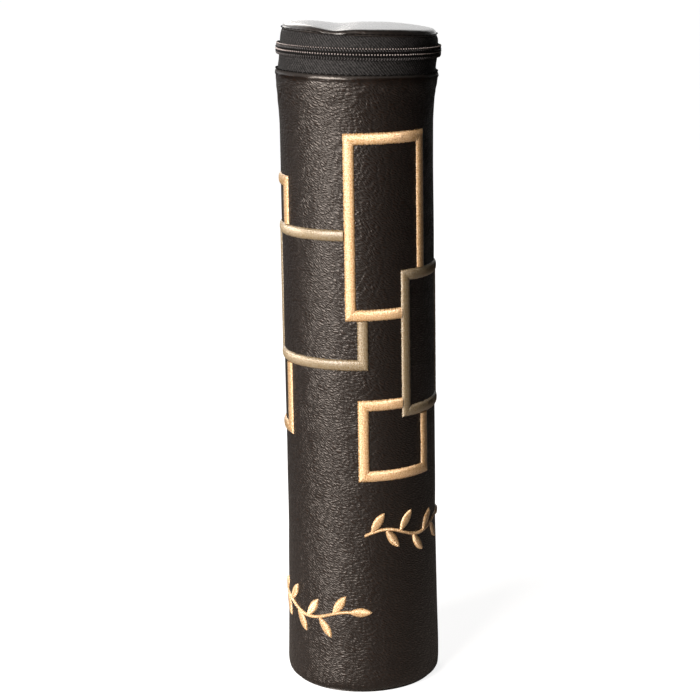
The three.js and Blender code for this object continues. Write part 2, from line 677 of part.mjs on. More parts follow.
// A rectangular frame of satin-stitch bars, left out where another frame lies over it.
function stitchedFrame(frame, over = null) {
  const { left, right, top, bottom } = frame;
  const alongs = [left, left + BAR_WIDTH, right - BAR_WIDTH, right];
  const heights = [bottom, bottom + BAR_WIDTH, top - BAR_WIDTH, top];
  if (over) {
    alongs.push(over.left - FIT_GAP, over.right + FIT_GAP);
    heights.push(over.bottom - FIT_GAP, over.top + FIT_GAP);
  }
  const inFrame = (along, height) => along < left + BAR_WIDTH || along > right - BAR_WIDTH
    || height < bottom + BAR_WIDTH || height > top - BAR_WIDTH;
  const covered = (along, height) => over !== null
    && along > over.left - FIT_GAP && along < over.right + FIT_GAP
    && height > over.bottom - FIT_GAP && height < over.top + FIT_GAP;
  return wrappedPlate(
    gridLines(alongs, left, right, BAR_STEP),
    gridLines(heights, bottom, top),
    (along, height) => inFrame(along, height) && !covered(along, height),
  );
}

function threadPrism(shape) {
  return new THREE.ExtrudeGeometry(shape, {
    depth: THREAD_HEIGHT, bevelEnabled: false, curveSegments: LEAF_STEPS,
  });
}

// A wavy stem with leaves that lean towards its tip on alternate sides, stitched as one piece.
function leafSprig({ left, right, middleShare }) {
  const length = right - left;
  const middle = SLEEVE_HEIGHT * middleShare;
  const stemHeight = (along) => {
    const turns = STEM_WAVES * (along - left) / length;
    return middle + STEM_WAVE * Math.sin(turns * 2 * Math.PI);
  };
  const stemLength = length - LEAF_LENGTH / 2;
  const stemSteps = Math.round(length / LEAF_SPACING) * 2;
  const stem = new THREE.Shape();
  const alongs = Array.from({ length: stemSteps + 1 }, (_, i) => left + stemLength * i / stemSteps);
  const edge = (side) => alongs.map(
    (along) => new THREE.Vector2(along, stemHeight(along) + side * STEM_WIDTH / 2),
  );
  stem.setFromPoints([...edge(-1), ...edge(1).reverse()]);
  const leafShape = new THREE.Shape();
  leafShape.moveTo(0, 0);
  leafShape.quadraticCurveTo(LEAF_LENGTH * LEAF_BELLY_SHARE, -LEAF_WIDTH, LEAF_LENGTH, 0);
  leafShape.quadraticCurveTo(LEAF_LENGTH * LEAF_BELLY_SHARE, LEAF_WIDTH, 0, 0);
  let sprig = toSolid(threadPrism(stem));
  const leaves = Math.floor((length - LEAF_LENGTH) / LEAF_SPACING);
  for (let i = 0; i <= leaves; i++) {
    const along = left + LEAF_SPACING * (i + FIRST_LEAF_SHARE);
    const last = i === leaves;
    const lean = last ? 0 : (i % 2 === 0 ? LEAF_LEAN : -LEAF_LEAN);
    const foot = last ? right - LEAF_LENGTH : along;
    const leaf = threadPrism(leafShape).rotateZ(lean).translate(foot, stemHeight(foot), 0);
    sprig = sprig.add(toSolid(leaf));
  }
  const fine = new TessellateModifier(BAR_STEP, 8).modify(toGeometry(sprig));
  const position = fine.attributes.position;
  for (let i = 0; i < position.count; i++) {
    position.setXYZ(i, ...sleevePoint(position.getX(i), position.getY(i), position.getZ(i)));
  }
  return fine;
}

function addEmbroidery() {
  const tall = placedFrame(TALL_FRAME);
  const right = placedFrame(RIGHT_FRAME);
  const left = placedFrame(LEFT_FRAME);
  place('tall_gold_frame', stitchedFrame(tall, right), GOLD_THREAD);
  place('small_gold_frame', stitchedFrame(placedFrame(SMALL_FRAME), right), GOLD_THREAD);
  place('right_champagne_frame', stitchedFrame(right), CHAMPAGNE_THREAD);
  place('left_champagne_frame', stitchedFrame(left, tall), CHAMPAGNE_THREAD);
  place('left_gold_frame', stitchedFrame(placedFrame(BACK_FRAME), left), GOLD_THREAD);
  place('upper_leaf_sprig', leafSprig(UPPER_SPRIG), GOLD_THREAD);
  place('lower_leaf_sprig', leafSprig(LOWER_SPRIG), GOLD_THREAD);
}

function addSlider() {
  const slider = new THREE.Group();
  slider.position.z = zipHeight;
  slider.rotation.z = parkBearing + Math.PI;
  part.add(slider);
  place('slider_body', sliderBody(), NICKEL, slider);
  place('slider_crown', sliderCrown(), NICKEL, slider);
  place('pull_tab', pullTab().translate(0, barCentre, 0), NICKEL, slider);
}

addBody();
addZip();
addLid();
addHinge();
addSlider();
addEmbroidery();

export default part;
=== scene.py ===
import math
import random

import bmesh
import bpy
from bpy.props import FloatProperty, FloatVectorProperty, PointerProperty
from mathutils import Matrix, Vector, noise


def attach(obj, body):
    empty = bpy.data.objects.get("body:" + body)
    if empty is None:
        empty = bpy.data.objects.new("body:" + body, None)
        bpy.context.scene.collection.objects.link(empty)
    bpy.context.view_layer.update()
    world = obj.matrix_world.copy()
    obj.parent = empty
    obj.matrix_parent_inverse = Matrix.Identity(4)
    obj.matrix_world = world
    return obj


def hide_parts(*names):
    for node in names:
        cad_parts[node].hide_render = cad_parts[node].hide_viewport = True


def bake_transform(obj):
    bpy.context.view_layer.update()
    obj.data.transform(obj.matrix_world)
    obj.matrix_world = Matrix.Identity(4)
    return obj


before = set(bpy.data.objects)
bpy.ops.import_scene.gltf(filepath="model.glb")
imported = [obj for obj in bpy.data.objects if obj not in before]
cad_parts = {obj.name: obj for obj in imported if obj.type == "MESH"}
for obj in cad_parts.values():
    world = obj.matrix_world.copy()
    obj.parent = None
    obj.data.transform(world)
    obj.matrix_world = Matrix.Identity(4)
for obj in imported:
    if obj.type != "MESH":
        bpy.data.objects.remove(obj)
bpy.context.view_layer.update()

bl_info = {
    "name": "Zip-topped scroll case",
    "version": (1, 0, 0),
    "blender": (4, 5, 0),
    "location": "3D View > Sidebar > Scroll case",
    "description": "Builds a leatherette scroll case with a coil zip and embroidered frames",
    "category": "Object",
}

MM = 0.001
TURN = 2 * math.pi

# Heights, radii and thicknesses of the case, in metres
SLEEVE_RADIUS = 38 * MM
RIM_HEIGHT = 312.5 * MM
FOOT_HEIGHT = 8 * MM
LEATHER = 1.0 * MM
LIP_DROP = 2.2 * MM
SEAM_LIFT = 0.5 * MM
ZIP_HEIGHT = 322.5 * MM
TAPE_OUTER = 39.0 * MM
TAPE_THICKNESS = 0.5 * MM
TAPE_EDGE = 0.25 * MM
CHAIN_INNER = 39.3 * MM
CHAIN_OUTER = 40.65 * MM
CHAIN_HALF = 3.0 * MM
LID_EDGE = ZIP_HEIGHT + 8.2 * MM
LID_TOP = LID_EDGE + 3.9 * MM
LID_CROWN = 0.7 * MM
LID_RADIUS = 38.1 * MM
LID_LINING_BOTTOM = ZIP_HEIGHT + 4.8 * MM
TAB_RADIUS = 40.45 * MM
TAB_LEATHER = 0.9 * MM
THREAD_RADIUS = 38.4 * MM
SEWING = 0.42 * MM

# Depth, height and power of the sleeve's swell at its rim and at its foot
RIM_SWELL = (2.3 * MM, 27 * MM, 1.4)
FOOT_SWELL = (1.4 * MM, 75 * MM, 1.3)

# Bearings from the front, and half the angle of the tab and of its lining, in radians
CHAIN_START = -2.72132
TAPE_END = 2.86966
TAB_HALF = 0.38319
TAB_LINING_HALF = 0.3377

TOOTH_COUNT = 144
# Upward part of a face's normal past which the face is mapped from above
LEVEL = 0.6

# Place and half width of the lid's dent and of its swellings, and the dent's skew, in mm
LID_DENT = (-10, 7.5)
LID_SWELLINGS = ((18, 11), (-26, 7))
DENT_SKEW = 0.085


# Property groups


def length_property(name, description, value):
    return FloatProperty(
        name=name, description=description, unit="LENGTH", default=value * MM, precision=5)


def colour_property(name, description, value):
    return FloatVectorProperty(
        name=name, description=description, subtype="COLOR", size=3, min=0, max=1, default=value)


def angle_property(name, description, value):
    return FloatProperty(name=name, description=description, subtype="ANGLE", default=math.radians(value))


def power_property(name, description, value):
    return FloatProperty(name=name, description=description, unit="POWER", default=value)


def share_property(name, description, value):
    return FloatProperty(name=name, description=description, default=value, min=0, max=1)


class SleeveSettings(bpy.types.PropertyGroup):
    colour: colour_property("Leatherette", "Colour of the leatherette", (0.0080, 0.0042, 0.0027))
    grain: length_property("Grain", "Width of one pebble of the grain", 1.05)
    pucker: length_property("Pucker", "Depth of the puckers under the rim's seam", 0.36)
    stitch: length_property("Stitch", "Length of one stitch with its gap", 3.3)


class ZipSettings(bpy.types.PropertyGroup):
    pitch: length_property("Tooth pitch", "Distance from one coil to the next", 1.45)
    wire: length_property("Coil wire", "Thickness of the coil's wire", 0.62)
    tape_colour: colour_property("Tape", "Colour of the woven tape", (0.0075, 0.0070, 0.0071))
    coil_colour: colour_property("Coil", "Colour of the nylon coil", (0.008, 0.0072, 0.0070))
    slope: angle_property("Slope", "How far the closed zip slopes down to the right", 2.0)
    lean: length_property("Lean", "How far the closed zip is drawn to the sleeve's right", 2.1)


class LidSettings(bpy.types.PropertyGroup):
    slope: angle_property("Slope", "How far the padded lid slopes down to the right", 3.4)
    dip: length_property("Dip", "Depth of the dent across the padding", 1.15)
    rise: length_property("Rise", "Height of the padding's two swellings", 0.35)


class ThreadSettings(bpy.types.PropertyGroup):
    pitch: length_property("Thread pitch", "Distance from one satin stitch to the next", 0.38)
    width: length_property("Bar width", "Width of a satin-stitch bar", 5.9)
    height: length_property("Height", "How far the stitching stands above the leatherette", 1.05)
    gold: colour_property("Gold", "Colour of the gold thread", (0.93, 0.57, 0.20))
    champagne: colour_property("Champagne", "Colour of the champagne thread", (0.38, 0.29, 0.15))


class StageSettings(bpy.types.PropertyGroup):
    lens: FloatProperty(
        name="Lens", description="Focal length of the camera", subtype="DISTANCE_CAMERA", default=98.48)
    key: power_property("Main lamp", "Strength of the main lamp", 48)
    rear: power_property("Rear lamp", "Strength of the lamp behind the case", 6)
    world: share_property("World", "Strength of the light from all round", 0.09)
    front: share_property("Room", "Brightness of the room in front of the backdrop", 0.04)


class CaseSettings(bpy.types.PropertyGroup):
    sleeve: PointerProperty(type=SleeveSettings)
    zip: PointerProperty(type=ZipSettings)
    lid: PointerProperty(type=LidSettings)
    thread: PointerProperty(type=ThreadSettings)
    stage: PointerProperty(type=StageSettings)


# Forms


def ease(value):
    """Smooth step from 0 to 1."""
    value = min(1.0, max(0.0, value))
    return value * value * (3 - 2 * value)


def around(radius, bearing, height):
    """Point at a bearing from the front, growing towards the right."""
    return Vector((radius * math.sin(bearing), -radius * math.cos(bearing), height))


def sleeve_radius(height):
    """Outside radius of the sleeve, which swells to its rim and its foot."""
    depth, length, power = RIM_SWELL
    rim = depth * max(0.0, (height - RIM_HEIGHT + length) / length) ** power
    depth, length, power = FOOT_SWELL
    foot = depth * min(1.0, max(0.0, 1 - (height - FOOT_HEIGHT) / length)) ** power
    return SLEEVE_RADIUS + rim + foot


def front(point):
    """1 over the front half of the case, fading to 0 at its back."""
    return 1 - ease((point.y - 2 * MM) / (24 * MM))


def slope_zip(point, settings):
    """Lower the closed zip and lid towards the right, as they lie when the zip has been drawn shut."""
    rising = ease((point.z - (RIM_HEIGHT - 16 * MM)) / (16 * MM))
    lid = ease((point.z - ZIP_HEIGHT - CHAIN_HALF) / (LID_EDGE - ZIP_HEIGHT - CHAIN_HALF))
    near = front(point)
    zip_slope = math.tan(settings.zip.slope) * rising * near
    lid_slope = math.tan(settings.lid.slope) * (0.77 + 0.23 * near)
    point.z -= point.x * (zip_slope * (1 - lid) + lid_slope * lid)
    above_rim = ease((point.z - RIM_HEIGHT) / (8 * MM))
    above_zip = ease((point.z - ZIP_HEIGHT) / (6 * MM))
    point.x += settings.zip.lean * (0.25 * rising + 0.45 * above_rim + 0.3 * above_zip) * near


def cushion(point, settings):
    """Rise and fall of the lid's padding."""
    x = point.x / MM
    place, width = LID_DENT
    dip = settings.lid.dip * math.exp(-((x - place - DENT_SKEW * point.y / MM) / width) ** 2)
    rise = sum(math.exp(-((x - place) / width) ** 2) for place, width in LID_SWELLINGS)
    point.z += ease((point.z - LID_EDGE + 0.4 * MM) / (2.2 * MM)) * (settings.lid.rise * rise - dip)


def ripple(*place):
    """Smooth noise between -1 and 1."""
    return noise.noise(Vector(place))


def ripple_round(bearing, turns, height):
    """Smooth noise round the case, without a step behind."""
    return ripple(math.sin(bearing) * turns, math.cos(bearing) * turns, height)


def push(point, radius, offset):
    """Move a point outwards from the case's axis."""
    scale = (radius + offset) / radius
    point.x *= scale
    point.y *= scale


# Mesh helpers


def spun(profile, steps, start=0.0, angle=TURN):
    """A closed profile of (radius, height) points spun about the case's axis."""
    bm = bmesh.new()
    verts = [bm.verts.new(around(radius, start, height)) for radius, height in profile]
    edges = [bm.edges.new(pair) for pair in zip(verts, verts[1:])]
    on_axis = profile[0][0] == 0 and profile[-1][0] == 0
    if not on_axis:
        edges.append(bm.edges.new((verts[-1], verts[0])))
    full = angle == TURN
    made = bmesh.ops.spin(
        bm, geom=verts + edges, cent=(0, 0, 0), axis=(0, 0, 1), angle=angle, steps=steps,
        use_merge=full)
    if not full:
        last = [part for part in made["geom_last"] if isinstance(part, bmesh.types.BMEdge)]
        bmesh.ops.contextual_create(bm, geom=edges)
        bmesh.ops.contextual_create(bm, geom=last)
    bmesh.ops.remove_doubles(bm, verts=bm.verts, dist=1e-6)
    bmesh.ops.recalc_face_normals(bm, faces=bm.faces)
    return bm


def soften(bm, offset, angle):
    """Round every edge that is sharper than the angle."""
    sharp = [
        edge for edge in bm.edges
        if edge.is_manifold and edge.calc_face_angle(0) > math.radians(angle)]
    bmesh.ops.bevel(
        bm, geom=sharp, offset=offset, offset_type="OFFSET", segments=2, profile=0.5,
        affect="EDGES", clamp_overlap=True, material=-1)


def unroll(bm, radius, level=1.1):
    """UV map in metres: along and up the wrapped sheet, or from above where it lies level."""
    layer = bm.loops.layers.uv.verify()
    bm.normal_update()
    for face in bm.faces:
        first = None
        for loop in face.loops:
            if abs(face.normal.z) > level:
                loop[layer].uv = loop.vert.co.xy
                continue
            bearing = math.atan2(loop.vert.co.x, -loop.vert.co.y)
            if first is None:
                first = bearing
            bearing += TURN * round((first - bearing) / TURN)
            loop[layer].uv = (bearing * radius, loop.vert.co.z)


def levels(low, high, step):
    """Evenly spaced heights from low up to, and without, high."""
    count = max(1, round((high - low) / step))
    return [low + (high - low) * i / count for i in range(count)]


def arc_points(centre, radius, start, end, count):
    """Points of an arc in the (radius, height) plane, angles in degrees."""
    return [
        (centre[0] + radius * math.cos(math.radians(start + (end - start) * i / count)),
         centre[1] + radius * math.sin(math.radians(start + (end - start) * i / count)))
        for i in range(count + 1)]


def piece(name, bm, material, smooth_angle=40):
    """An object at the origin from a finished bmesh."""
    mesh = bpy.data.meshes.new(name)
    bm.to_mesh(mesh)
    bm.free()
    return dressed(name, mesh, material, smooth_angle)


def dressed(name, mesh, material, smooth_angle=40):
    """An object at the origin from a finished mesh, shaded smooth."""
    mesh.name = name
    mesh.materials.clear()
    mesh.materials.append(material)
    mesh.polygons.foreach_set("use_smooth", [True] * len(mesh.polygons))
    if smooth_angle:
        mesh.set_sharp_from_angle(angle=math.radians(smooth_angle))
    obj = bpy.data.objects.new(name, mesh)
    bpy.context.scene.collection.objects.link(obj)
    return obj


def threads(name, runs, width, material, resolution=1, taper=1.0):
    """Round threads along lists of points, as one mesh."""
    curve = bpy.data.curves.new(name, "CURVE")
    curve.dimensions = "3D"
    curve.bevel_depth = width / 2
    curve.bevel_resolution = resolution
    curve.use_fill_caps = True
    for run in runs:
        spline = curve.splines.new("POLY")
        spline.points.add(len(run) - 1)
        for i, (spot, point) in enumerate(zip(spline.points, run)):
            spot.co = (*point, 1)
            spot.radius = taper if i in (0, len(run) - 1) else 1
    holder = bpy.data.objects.new(name, curve)
    mesh = bpy.data.meshes.new_from_object(holder)
    bpy.data.objects.remove(holder)
    bpy.data.curves.remove(curve)
    return dressed(name, mesh, material, smooth_angle=0)


def stitching(name, rows, width, settings, cover, lift, sink):
    """Rows of single stitches: each has its starts and a function for a point and its way outward."""
    shape = ((0, -sink), (0.18, lift * 0.7), (0.5, lift), (0.82, lift * 0.7), (1, -sink))
    length = settings.sleeve.stitch * cover
    runs = []
    for starts, at in rows:
        for start in starts:
            places = [(*at(start + length * part), height) for part, height in shape]
            runs.append([point + outward * height for point, outward, height in places])
    return threads(name, runs, width, black_thread(settings), taper=0.7)


def centred(settings, length):
    """Starts of a row of stitches on both sides of the front."""
    pitch = settings.sleeve.stitch
    count = int(length / pitch)
    return [pitch * (i - count / 2) for i in range(count)]


def upward(settings, low, length):
    """Starts of a row of stitches from low on."""
    pitch = settings.sleeve.stitch
    return [low + pitch * i for i in range(int(length / pitch))]


def ride(obj, body, slot, *nodes):
    """Move with one body."""
    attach(obj, body)
    stand_for(obj, slot, *nodes)


def blend(obj, start, end, slot, *nodes):
    """Bake the object's transform into its mesh and take the place of CAD nodes; the two places, y and
    height above the zip in mm, and the slot are not used.
    """
    start, end = ((0, y * MM, ZIP_HEIGHT + up * MM) for y, up in (start, end))
    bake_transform(obj)
    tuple(start)
    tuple(end)
    stand_for(obj, slot, *nodes)


def stand_for(obj, slot, *nodes):
    """Take the place of CAD nodes by hiding them; the slot is not used."""
    if nodes:
        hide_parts(*nodes)


# Shader arithmetic


class Signal:
    """A socket of a shader tree that takes part in Python arithmetic."""

    def __init__(self, shade, socket):
        self.shade = shade
        self.socket = socket

    def _math(self, operation, *others):
        inputs = dict(enumerate((self, *others)))
        return self.shade.node("Math", {"operation": operation}, inputs)

    def __add__(self, other):
        return self._math("ADD", other)

    __radd__ = __add__

    def __mul__(self, other):
        return self._math("MULTIPLY", other)

    __rmul__ = __mul__

    def __sub__(self, other):
        return self._math("SUBTRACT", other)

    def __rsub__(self, other):
        return self.shade.node("Math", {"operation": "SUBTRACT"}, {0: other, 1: self})

    def floor(self):
        return self._math("FLOOR")

    def fraction(self):
        return self._math("FRACT")

    def sine(self):
        return self._math("SINE")

    def least(self, other):
        return self._math("MINIMUM", other)

    def most(self, other):
        return self._math("MAXIMUM", other)


class Shade:
    """Builder of the node tree of one material or world."""

    def __init__(self, name, kind="materials", surface="Principled BSDF"):
        self.material = getattr(bpy.data, kind).new(name)
        self.material.use_nodes = True
        self.tree = self.material.node_tree
        self.surface = self.tree.nodes[surface]

    def node(self, kind, settings=None, inputs=None, output=0):
        made = self.tree.nodes.new("ShaderNode" + kind)
        for key, value in (settings or {}).items():
            setattr(made, key, value)
        for key, value in (inputs or {}).items():
            self.feed(made.inputs[key], value)
        return Signal(self, made.outputs[output])

    def feed(self, socket, value):
        if isinstance(value, Signal):
            self.tree.links.new(value.socket, socket)
        elif socket.type == "RGBA" and len(value) == 3:
            socket.default_value = (*value, 1)
        else:
            socket.default_value = value

    def mix(self, factor, first, second):
        return self.node("Mix", {"data_type": "RGBA"}, {0: factor, 6: first, 7: second}, output=2)

    def ramp(self, value, low, high, start=0.0, end=1.0, kind="LINEAR"):
        return self.node("MapRange", {"interpolation_type": kind}, {
            "Value": value, "From Min": low, "From Max": high, "To Min": start, "To Max": end})

    def place(self, scale=(1, 1, 1)):
        where = self.node("TexCoord", output="Object")
        return self.node("Mapping", inputs={"Vector": where, "Scale": scale})

    def uv(self):
        where = self.node("TexCoord", output="UV")
        split = self.node("SeparateXYZ", inputs={0: where})
        return split, Signal(self, split.socket.node.outputs[1])

    def flat(self, along, up):
        return self.node("CombineXYZ", inputs={0: along, 1: up})

    def noise(self, where, scale, detail=2, roughness=0.5, dimensions="3D", output=0):
        return self.node("TexNoise", {"noise_dimensions": dimensions}, {
            "Vector": where, "Scale": scale, "Detail": detail, "Roughness": roughness}, output)

    def bump(self, height, distance):
        return self.node("Bump", inputs={"Height": height, "Distance": distance, "Strength": 1.0})

    def done(self, **values):
        for name, value in values.items():
            self.feed(self.surface.inputs[name.replace("_", " ")], value)
        return self.material


def scaled(colour, share):
    """The colour at a share of its brightness."""
    return tuple(value * share for value in colour)


def leatherette(name, colour, grain, relief, coat, calm=None):
    """Leatherette with long domed pebbles and painted shade in the creases between them, stretched smooth
    above the height calm up to the lip's top, which is rougher and darkened with painted shade.
    """
    shade = Shade(name)
    along, up = shade.uv()
    flat = shade.flat(along, up)
    bent = flat
    for scale, reach in ((0.10 / grain, grain * 3.6), (0.8 / grain, grain * 0.6)):
        drift = shade.noise(bent, scale, 1, 0.5, "2D", "Color")
        drift = shade.node("VectorMath", {"operation": "SCALE"}, {0: drift, "Scale": reach})
        bent = shade.node("VectorMath", {"operation": "ADD"}, {0: bent, 1: drift})
    turned = shade.node("Mapping", {"vector_type": "TEXTURE"}, {
        "Vector": bent, "Rotation": (0, 0, math.radians(-24)), "Scale": (3.0, 1.0, 1.0)})
    cells = shade.node(
        "TexVoronoi", {"feature": "DISTANCE_TO_EDGE", "voronoi_dimensions": "2D"},
        {"Vector": turned, "Scale": 1 / grain, "Randomness": 1.0})
    pebble = shade.ramp(cells, 0.0, 0.46, kind="SMOOTHSTEP")
    fine = shade.noise(turned, 2.6 / grain, 2, 0.6, "2D")
    broad = shade.noise(flat, 0.22 / grain, 3, 0.6, "2D")
    height = pebble * (0.5 + broad * 0.7) + fine * 0.12 + broad * 1.1
    gloss = 0.49 - pebble * 0.16 + fine * 0.08
    # Painted shade: the creases between the pebbles are darkened to 0.3 of the leather's colour.
    painted_shade_colour = scaled(colour, 0.3)
    tone = shade.mix(pebble, painted_shade_colour, shade.mix(broad, colour, scaled(colour, 1.6)))
    if calm:
        slack = shade.ramp(up, calm - 3 * MM, calm, 1.0, 0.12)
        # Painted shade over the lip's top: darkened to the shade colour, and made rougher.
        lip_top_shade = shade.ramp(up, calm + 0.9 * MM, calm + 1.6 * MM)
        height = height * slack
        gloss = gloss * (slack * 0.36 + 0.64) + lip_top_shade * 0.55
        tone = shade.mix(lip_top_shade, tone, painted_shade_colour)
    return shade.done(
        Base_Color=tone, Roughness=gloss, Normal=shade.bump(height, relief * grain),
        Specular_IOR_Level=0.52, Specular_Tint=(1.0, 0.92, 0.87),
        Coat_Weight=coat, Coat_Roughness=0.22, Coat_IOR=1.65)


def woven_tape(name, colour):
    """Twill tape: fine diagonal ribs, painted lighter on the ribs and fluff flecks and darker between them:
    painted highlight and shade that follow the relief, with flecks of random tone.
    """
    shade = Shade(name)
    along, up = shade.uv()
    rib = ((along + up) * (TURN / (1.55 * MM))).sine() * 0.5 + 0.5
    weft = (up * (TURN / (0.7 * MM))).sine() * 0.5 + 0.5
    fuzz = shade.noise(shade.place(), 1300, 2, 0.7)
    height = rib * 0.7 + weft * 0.3 + fuzz * 0.8
    # Painted highlight and shade: lighter on the ribs and fluff flecks, darker between them, following the
    # relief; the flecks' tone also differs at random.
    fleck_sheen_and_shade = (rib * 0.7 + weft * 0.2 + fuzz * 3.0 - 1.6).least(1.0).most(0.0)
    return shade.done(
        Base_Color=shade.mix(fleck_sheen_and_shade, scaled(colour, 0.15), scaled(colour, 5)),
        Roughness=0.6 + fuzz * 0.2, Normal=shade.bump(height, 0.2 * MM), Specular_IOR_Level=0.2)


def cloth(name, colour):
    """Plain-woven lining cloth."""
    shade = Shade(name)
    along, up = shade.uv()
    turns = TURN / (0.4 * MM)
    weave = (along * turns).sine() * (up * turns).sine() * 0.5 + 0.5
    cloud = shade.noise(shade.place(), 160, 3, 0.6)
    return shade.done(
        Base_Color=shade.mix(cloud, scaled(colour, 0.7), scaled(colour, 1.3)),
        Roughness=0.7 + weave * 0.15, Normal=shade.bump(weave + cloud * 0.3, 0.05 * MM),
        Sheen_Weight=0.2)


def nylon(name, colour, shine, specular=1.0):
    """Smooth filament with faint clouding."""
    shade = Shade(name)
    cloud = shade.noise(shade.place(), 900)
    return shade.done(
        Base_Color=shade.mix(cloud, scaled(colour, 0.7), scaled(colour, 1.4)),
        Roughness=shine + cloud * 0.1, Specular_IOR_Level=specular)


def card(name):
    """Grey-brown board with short fibres."""
    shade = Shade(name)
    fibre = shade.noise(shade.place((1, 1, 0.3)), 2600, 3, 0.6)
    cloud = shade.noise(shade.place(), 90)
    tone = shade.mix(fibre * 0.6 + cloud * 0.4, (0.26, 0.20, 0.13), (0.52, 0.42, 0.29))
    return shade.done(Base_Color=tone, Roughness=0.86 + cloud * 0.1, Normal=shade.bump(fibre, 0.05 * MM))


def foam(name):
    """Open-celled foam, with painted shade darkening the hollow of each cell."""
    shade = Shade(name)
    cell = shade.node("TexVoronoi", {}, {"Vector": shade.place(), "Scale": 1400})
    # Painted shade: each cell is darker towards its middle, where the bump dips.
    tone = shade.mix(cell, (0.55, 0.52, 0.44), (0.82, 0.79, 0.70))
    return shade.done(Base_Color=tone, Roughness=0.9 + cell * 0.05, Normal=shade.bump(cell, 0.2 * MM))


def nickel(name):
    """Satin nickel plate with brushed wear."""
    shade = Shade(name)
    brushed = shade.noise(shade.place((1, 1, 9)), 2200, 3, 0.6)
    cloud = shade.noise(shade.place(), 300)
    tone = shade.mix(cloud, (0.50, 0.49, 0.47), (0.68, 0.67, 0.65))
    return shade.done(
        Base_Color=tone, Metallic=1.0, Roughness=0.2 + brushed * 0.16 + cloud * 0.06,
        Normal=shade.bump(brushed, 0.01 * MM))


def satin_thread(name, colour):
    """Satin-stitched thread: each stitch has its own tone, mixed with random flecks between a darker
    painted-shade colour and a whitened painted-highlight colour; the valleys between stitches get painted
    shade, and u counts the stitches.
    """
    shade = Shade(name)
    count, across = shade.uv()
    own = shade.node("TexWhiteNoise", {"noise_dimensions": "1D"}, {"W": count.floor()})
    speckle = shade.noise(shade.flat(count * 0.8, across * 7.0), 1.0, 2, 0.6)
    valley = (count.fraction() * TURN + math.pi / 2).sine() * 0.5 + 0.5
    # Painted sheen and shade: stitches and flecks mix a darker, more saturated shade colour with a colour
    # whitened towards a highlight, at random.
    fleck_sheen_and_shade = (own * 0.3 + speckle * 4.0 - 1.6).least(1.0).most(0.0)
    painted_shade_colour = (colour[0] * 0.56, colour[1] * 0.44, colour[2] * 0.24)
    pale = tuple(value + (min(1.0, max(colour) * 1.1) - value) * 0.3 for value in colour)
    # Painted shade: the valleys between stitches lean 40 % towards the shade colour.
    tone = shade.mix(valley * 0.4, shade.mix(fleck_sheen_and_shade, painted_shade_colour, pale), painted_shade_colour)
    ply = ((count + across * 9.0) * TURN).sine() * 0.5 + 0.5
    return shade.done(
        Base_Color=tone, Metallic=0.3, Roughness=0.32 + speckle * 0.15, IOR=1.7,
        Specular_IOR_Level=1.0, Coat_Weight=0.8, Coat_Roughness=0.34,
        Normal=shade.bump(ply * 0.2 + speckle * 0.35 + (1 - valley), 0.11 * MM))


def shared(name, maker, *values):
    """The material of that name, made at its first use."""
    return bpy.data.materials.get(name) or maker(name, *values)


def leather_for(settings, name="grained_leatherette", relief=0.17, coat=0.04, calm=None):
    sleeve = settings.sleeve
    return shared(name, leatherette, tuple(sleeve.colour), sleeve.grain, relief, coat, calm)


def black_thread(settings):
    return shared("black_thread", nylon, scaled(settings.zip.coil_colour, 0.3), 0.6, 0.1)


def lining_cloth():
    return shared("lining_cloth", cloth, (0.022, 0.020, 0.020))


def satin_for(settings, kind):
    return shared(f"{kind}_satin_thread", satin_thread, tuple(getattr(settings.thread, kind)))


# Operators


class CaseOperator:
    bl_options = {"REGISTER"}

    def settings(self, context):
        return context.scene.scroll_case


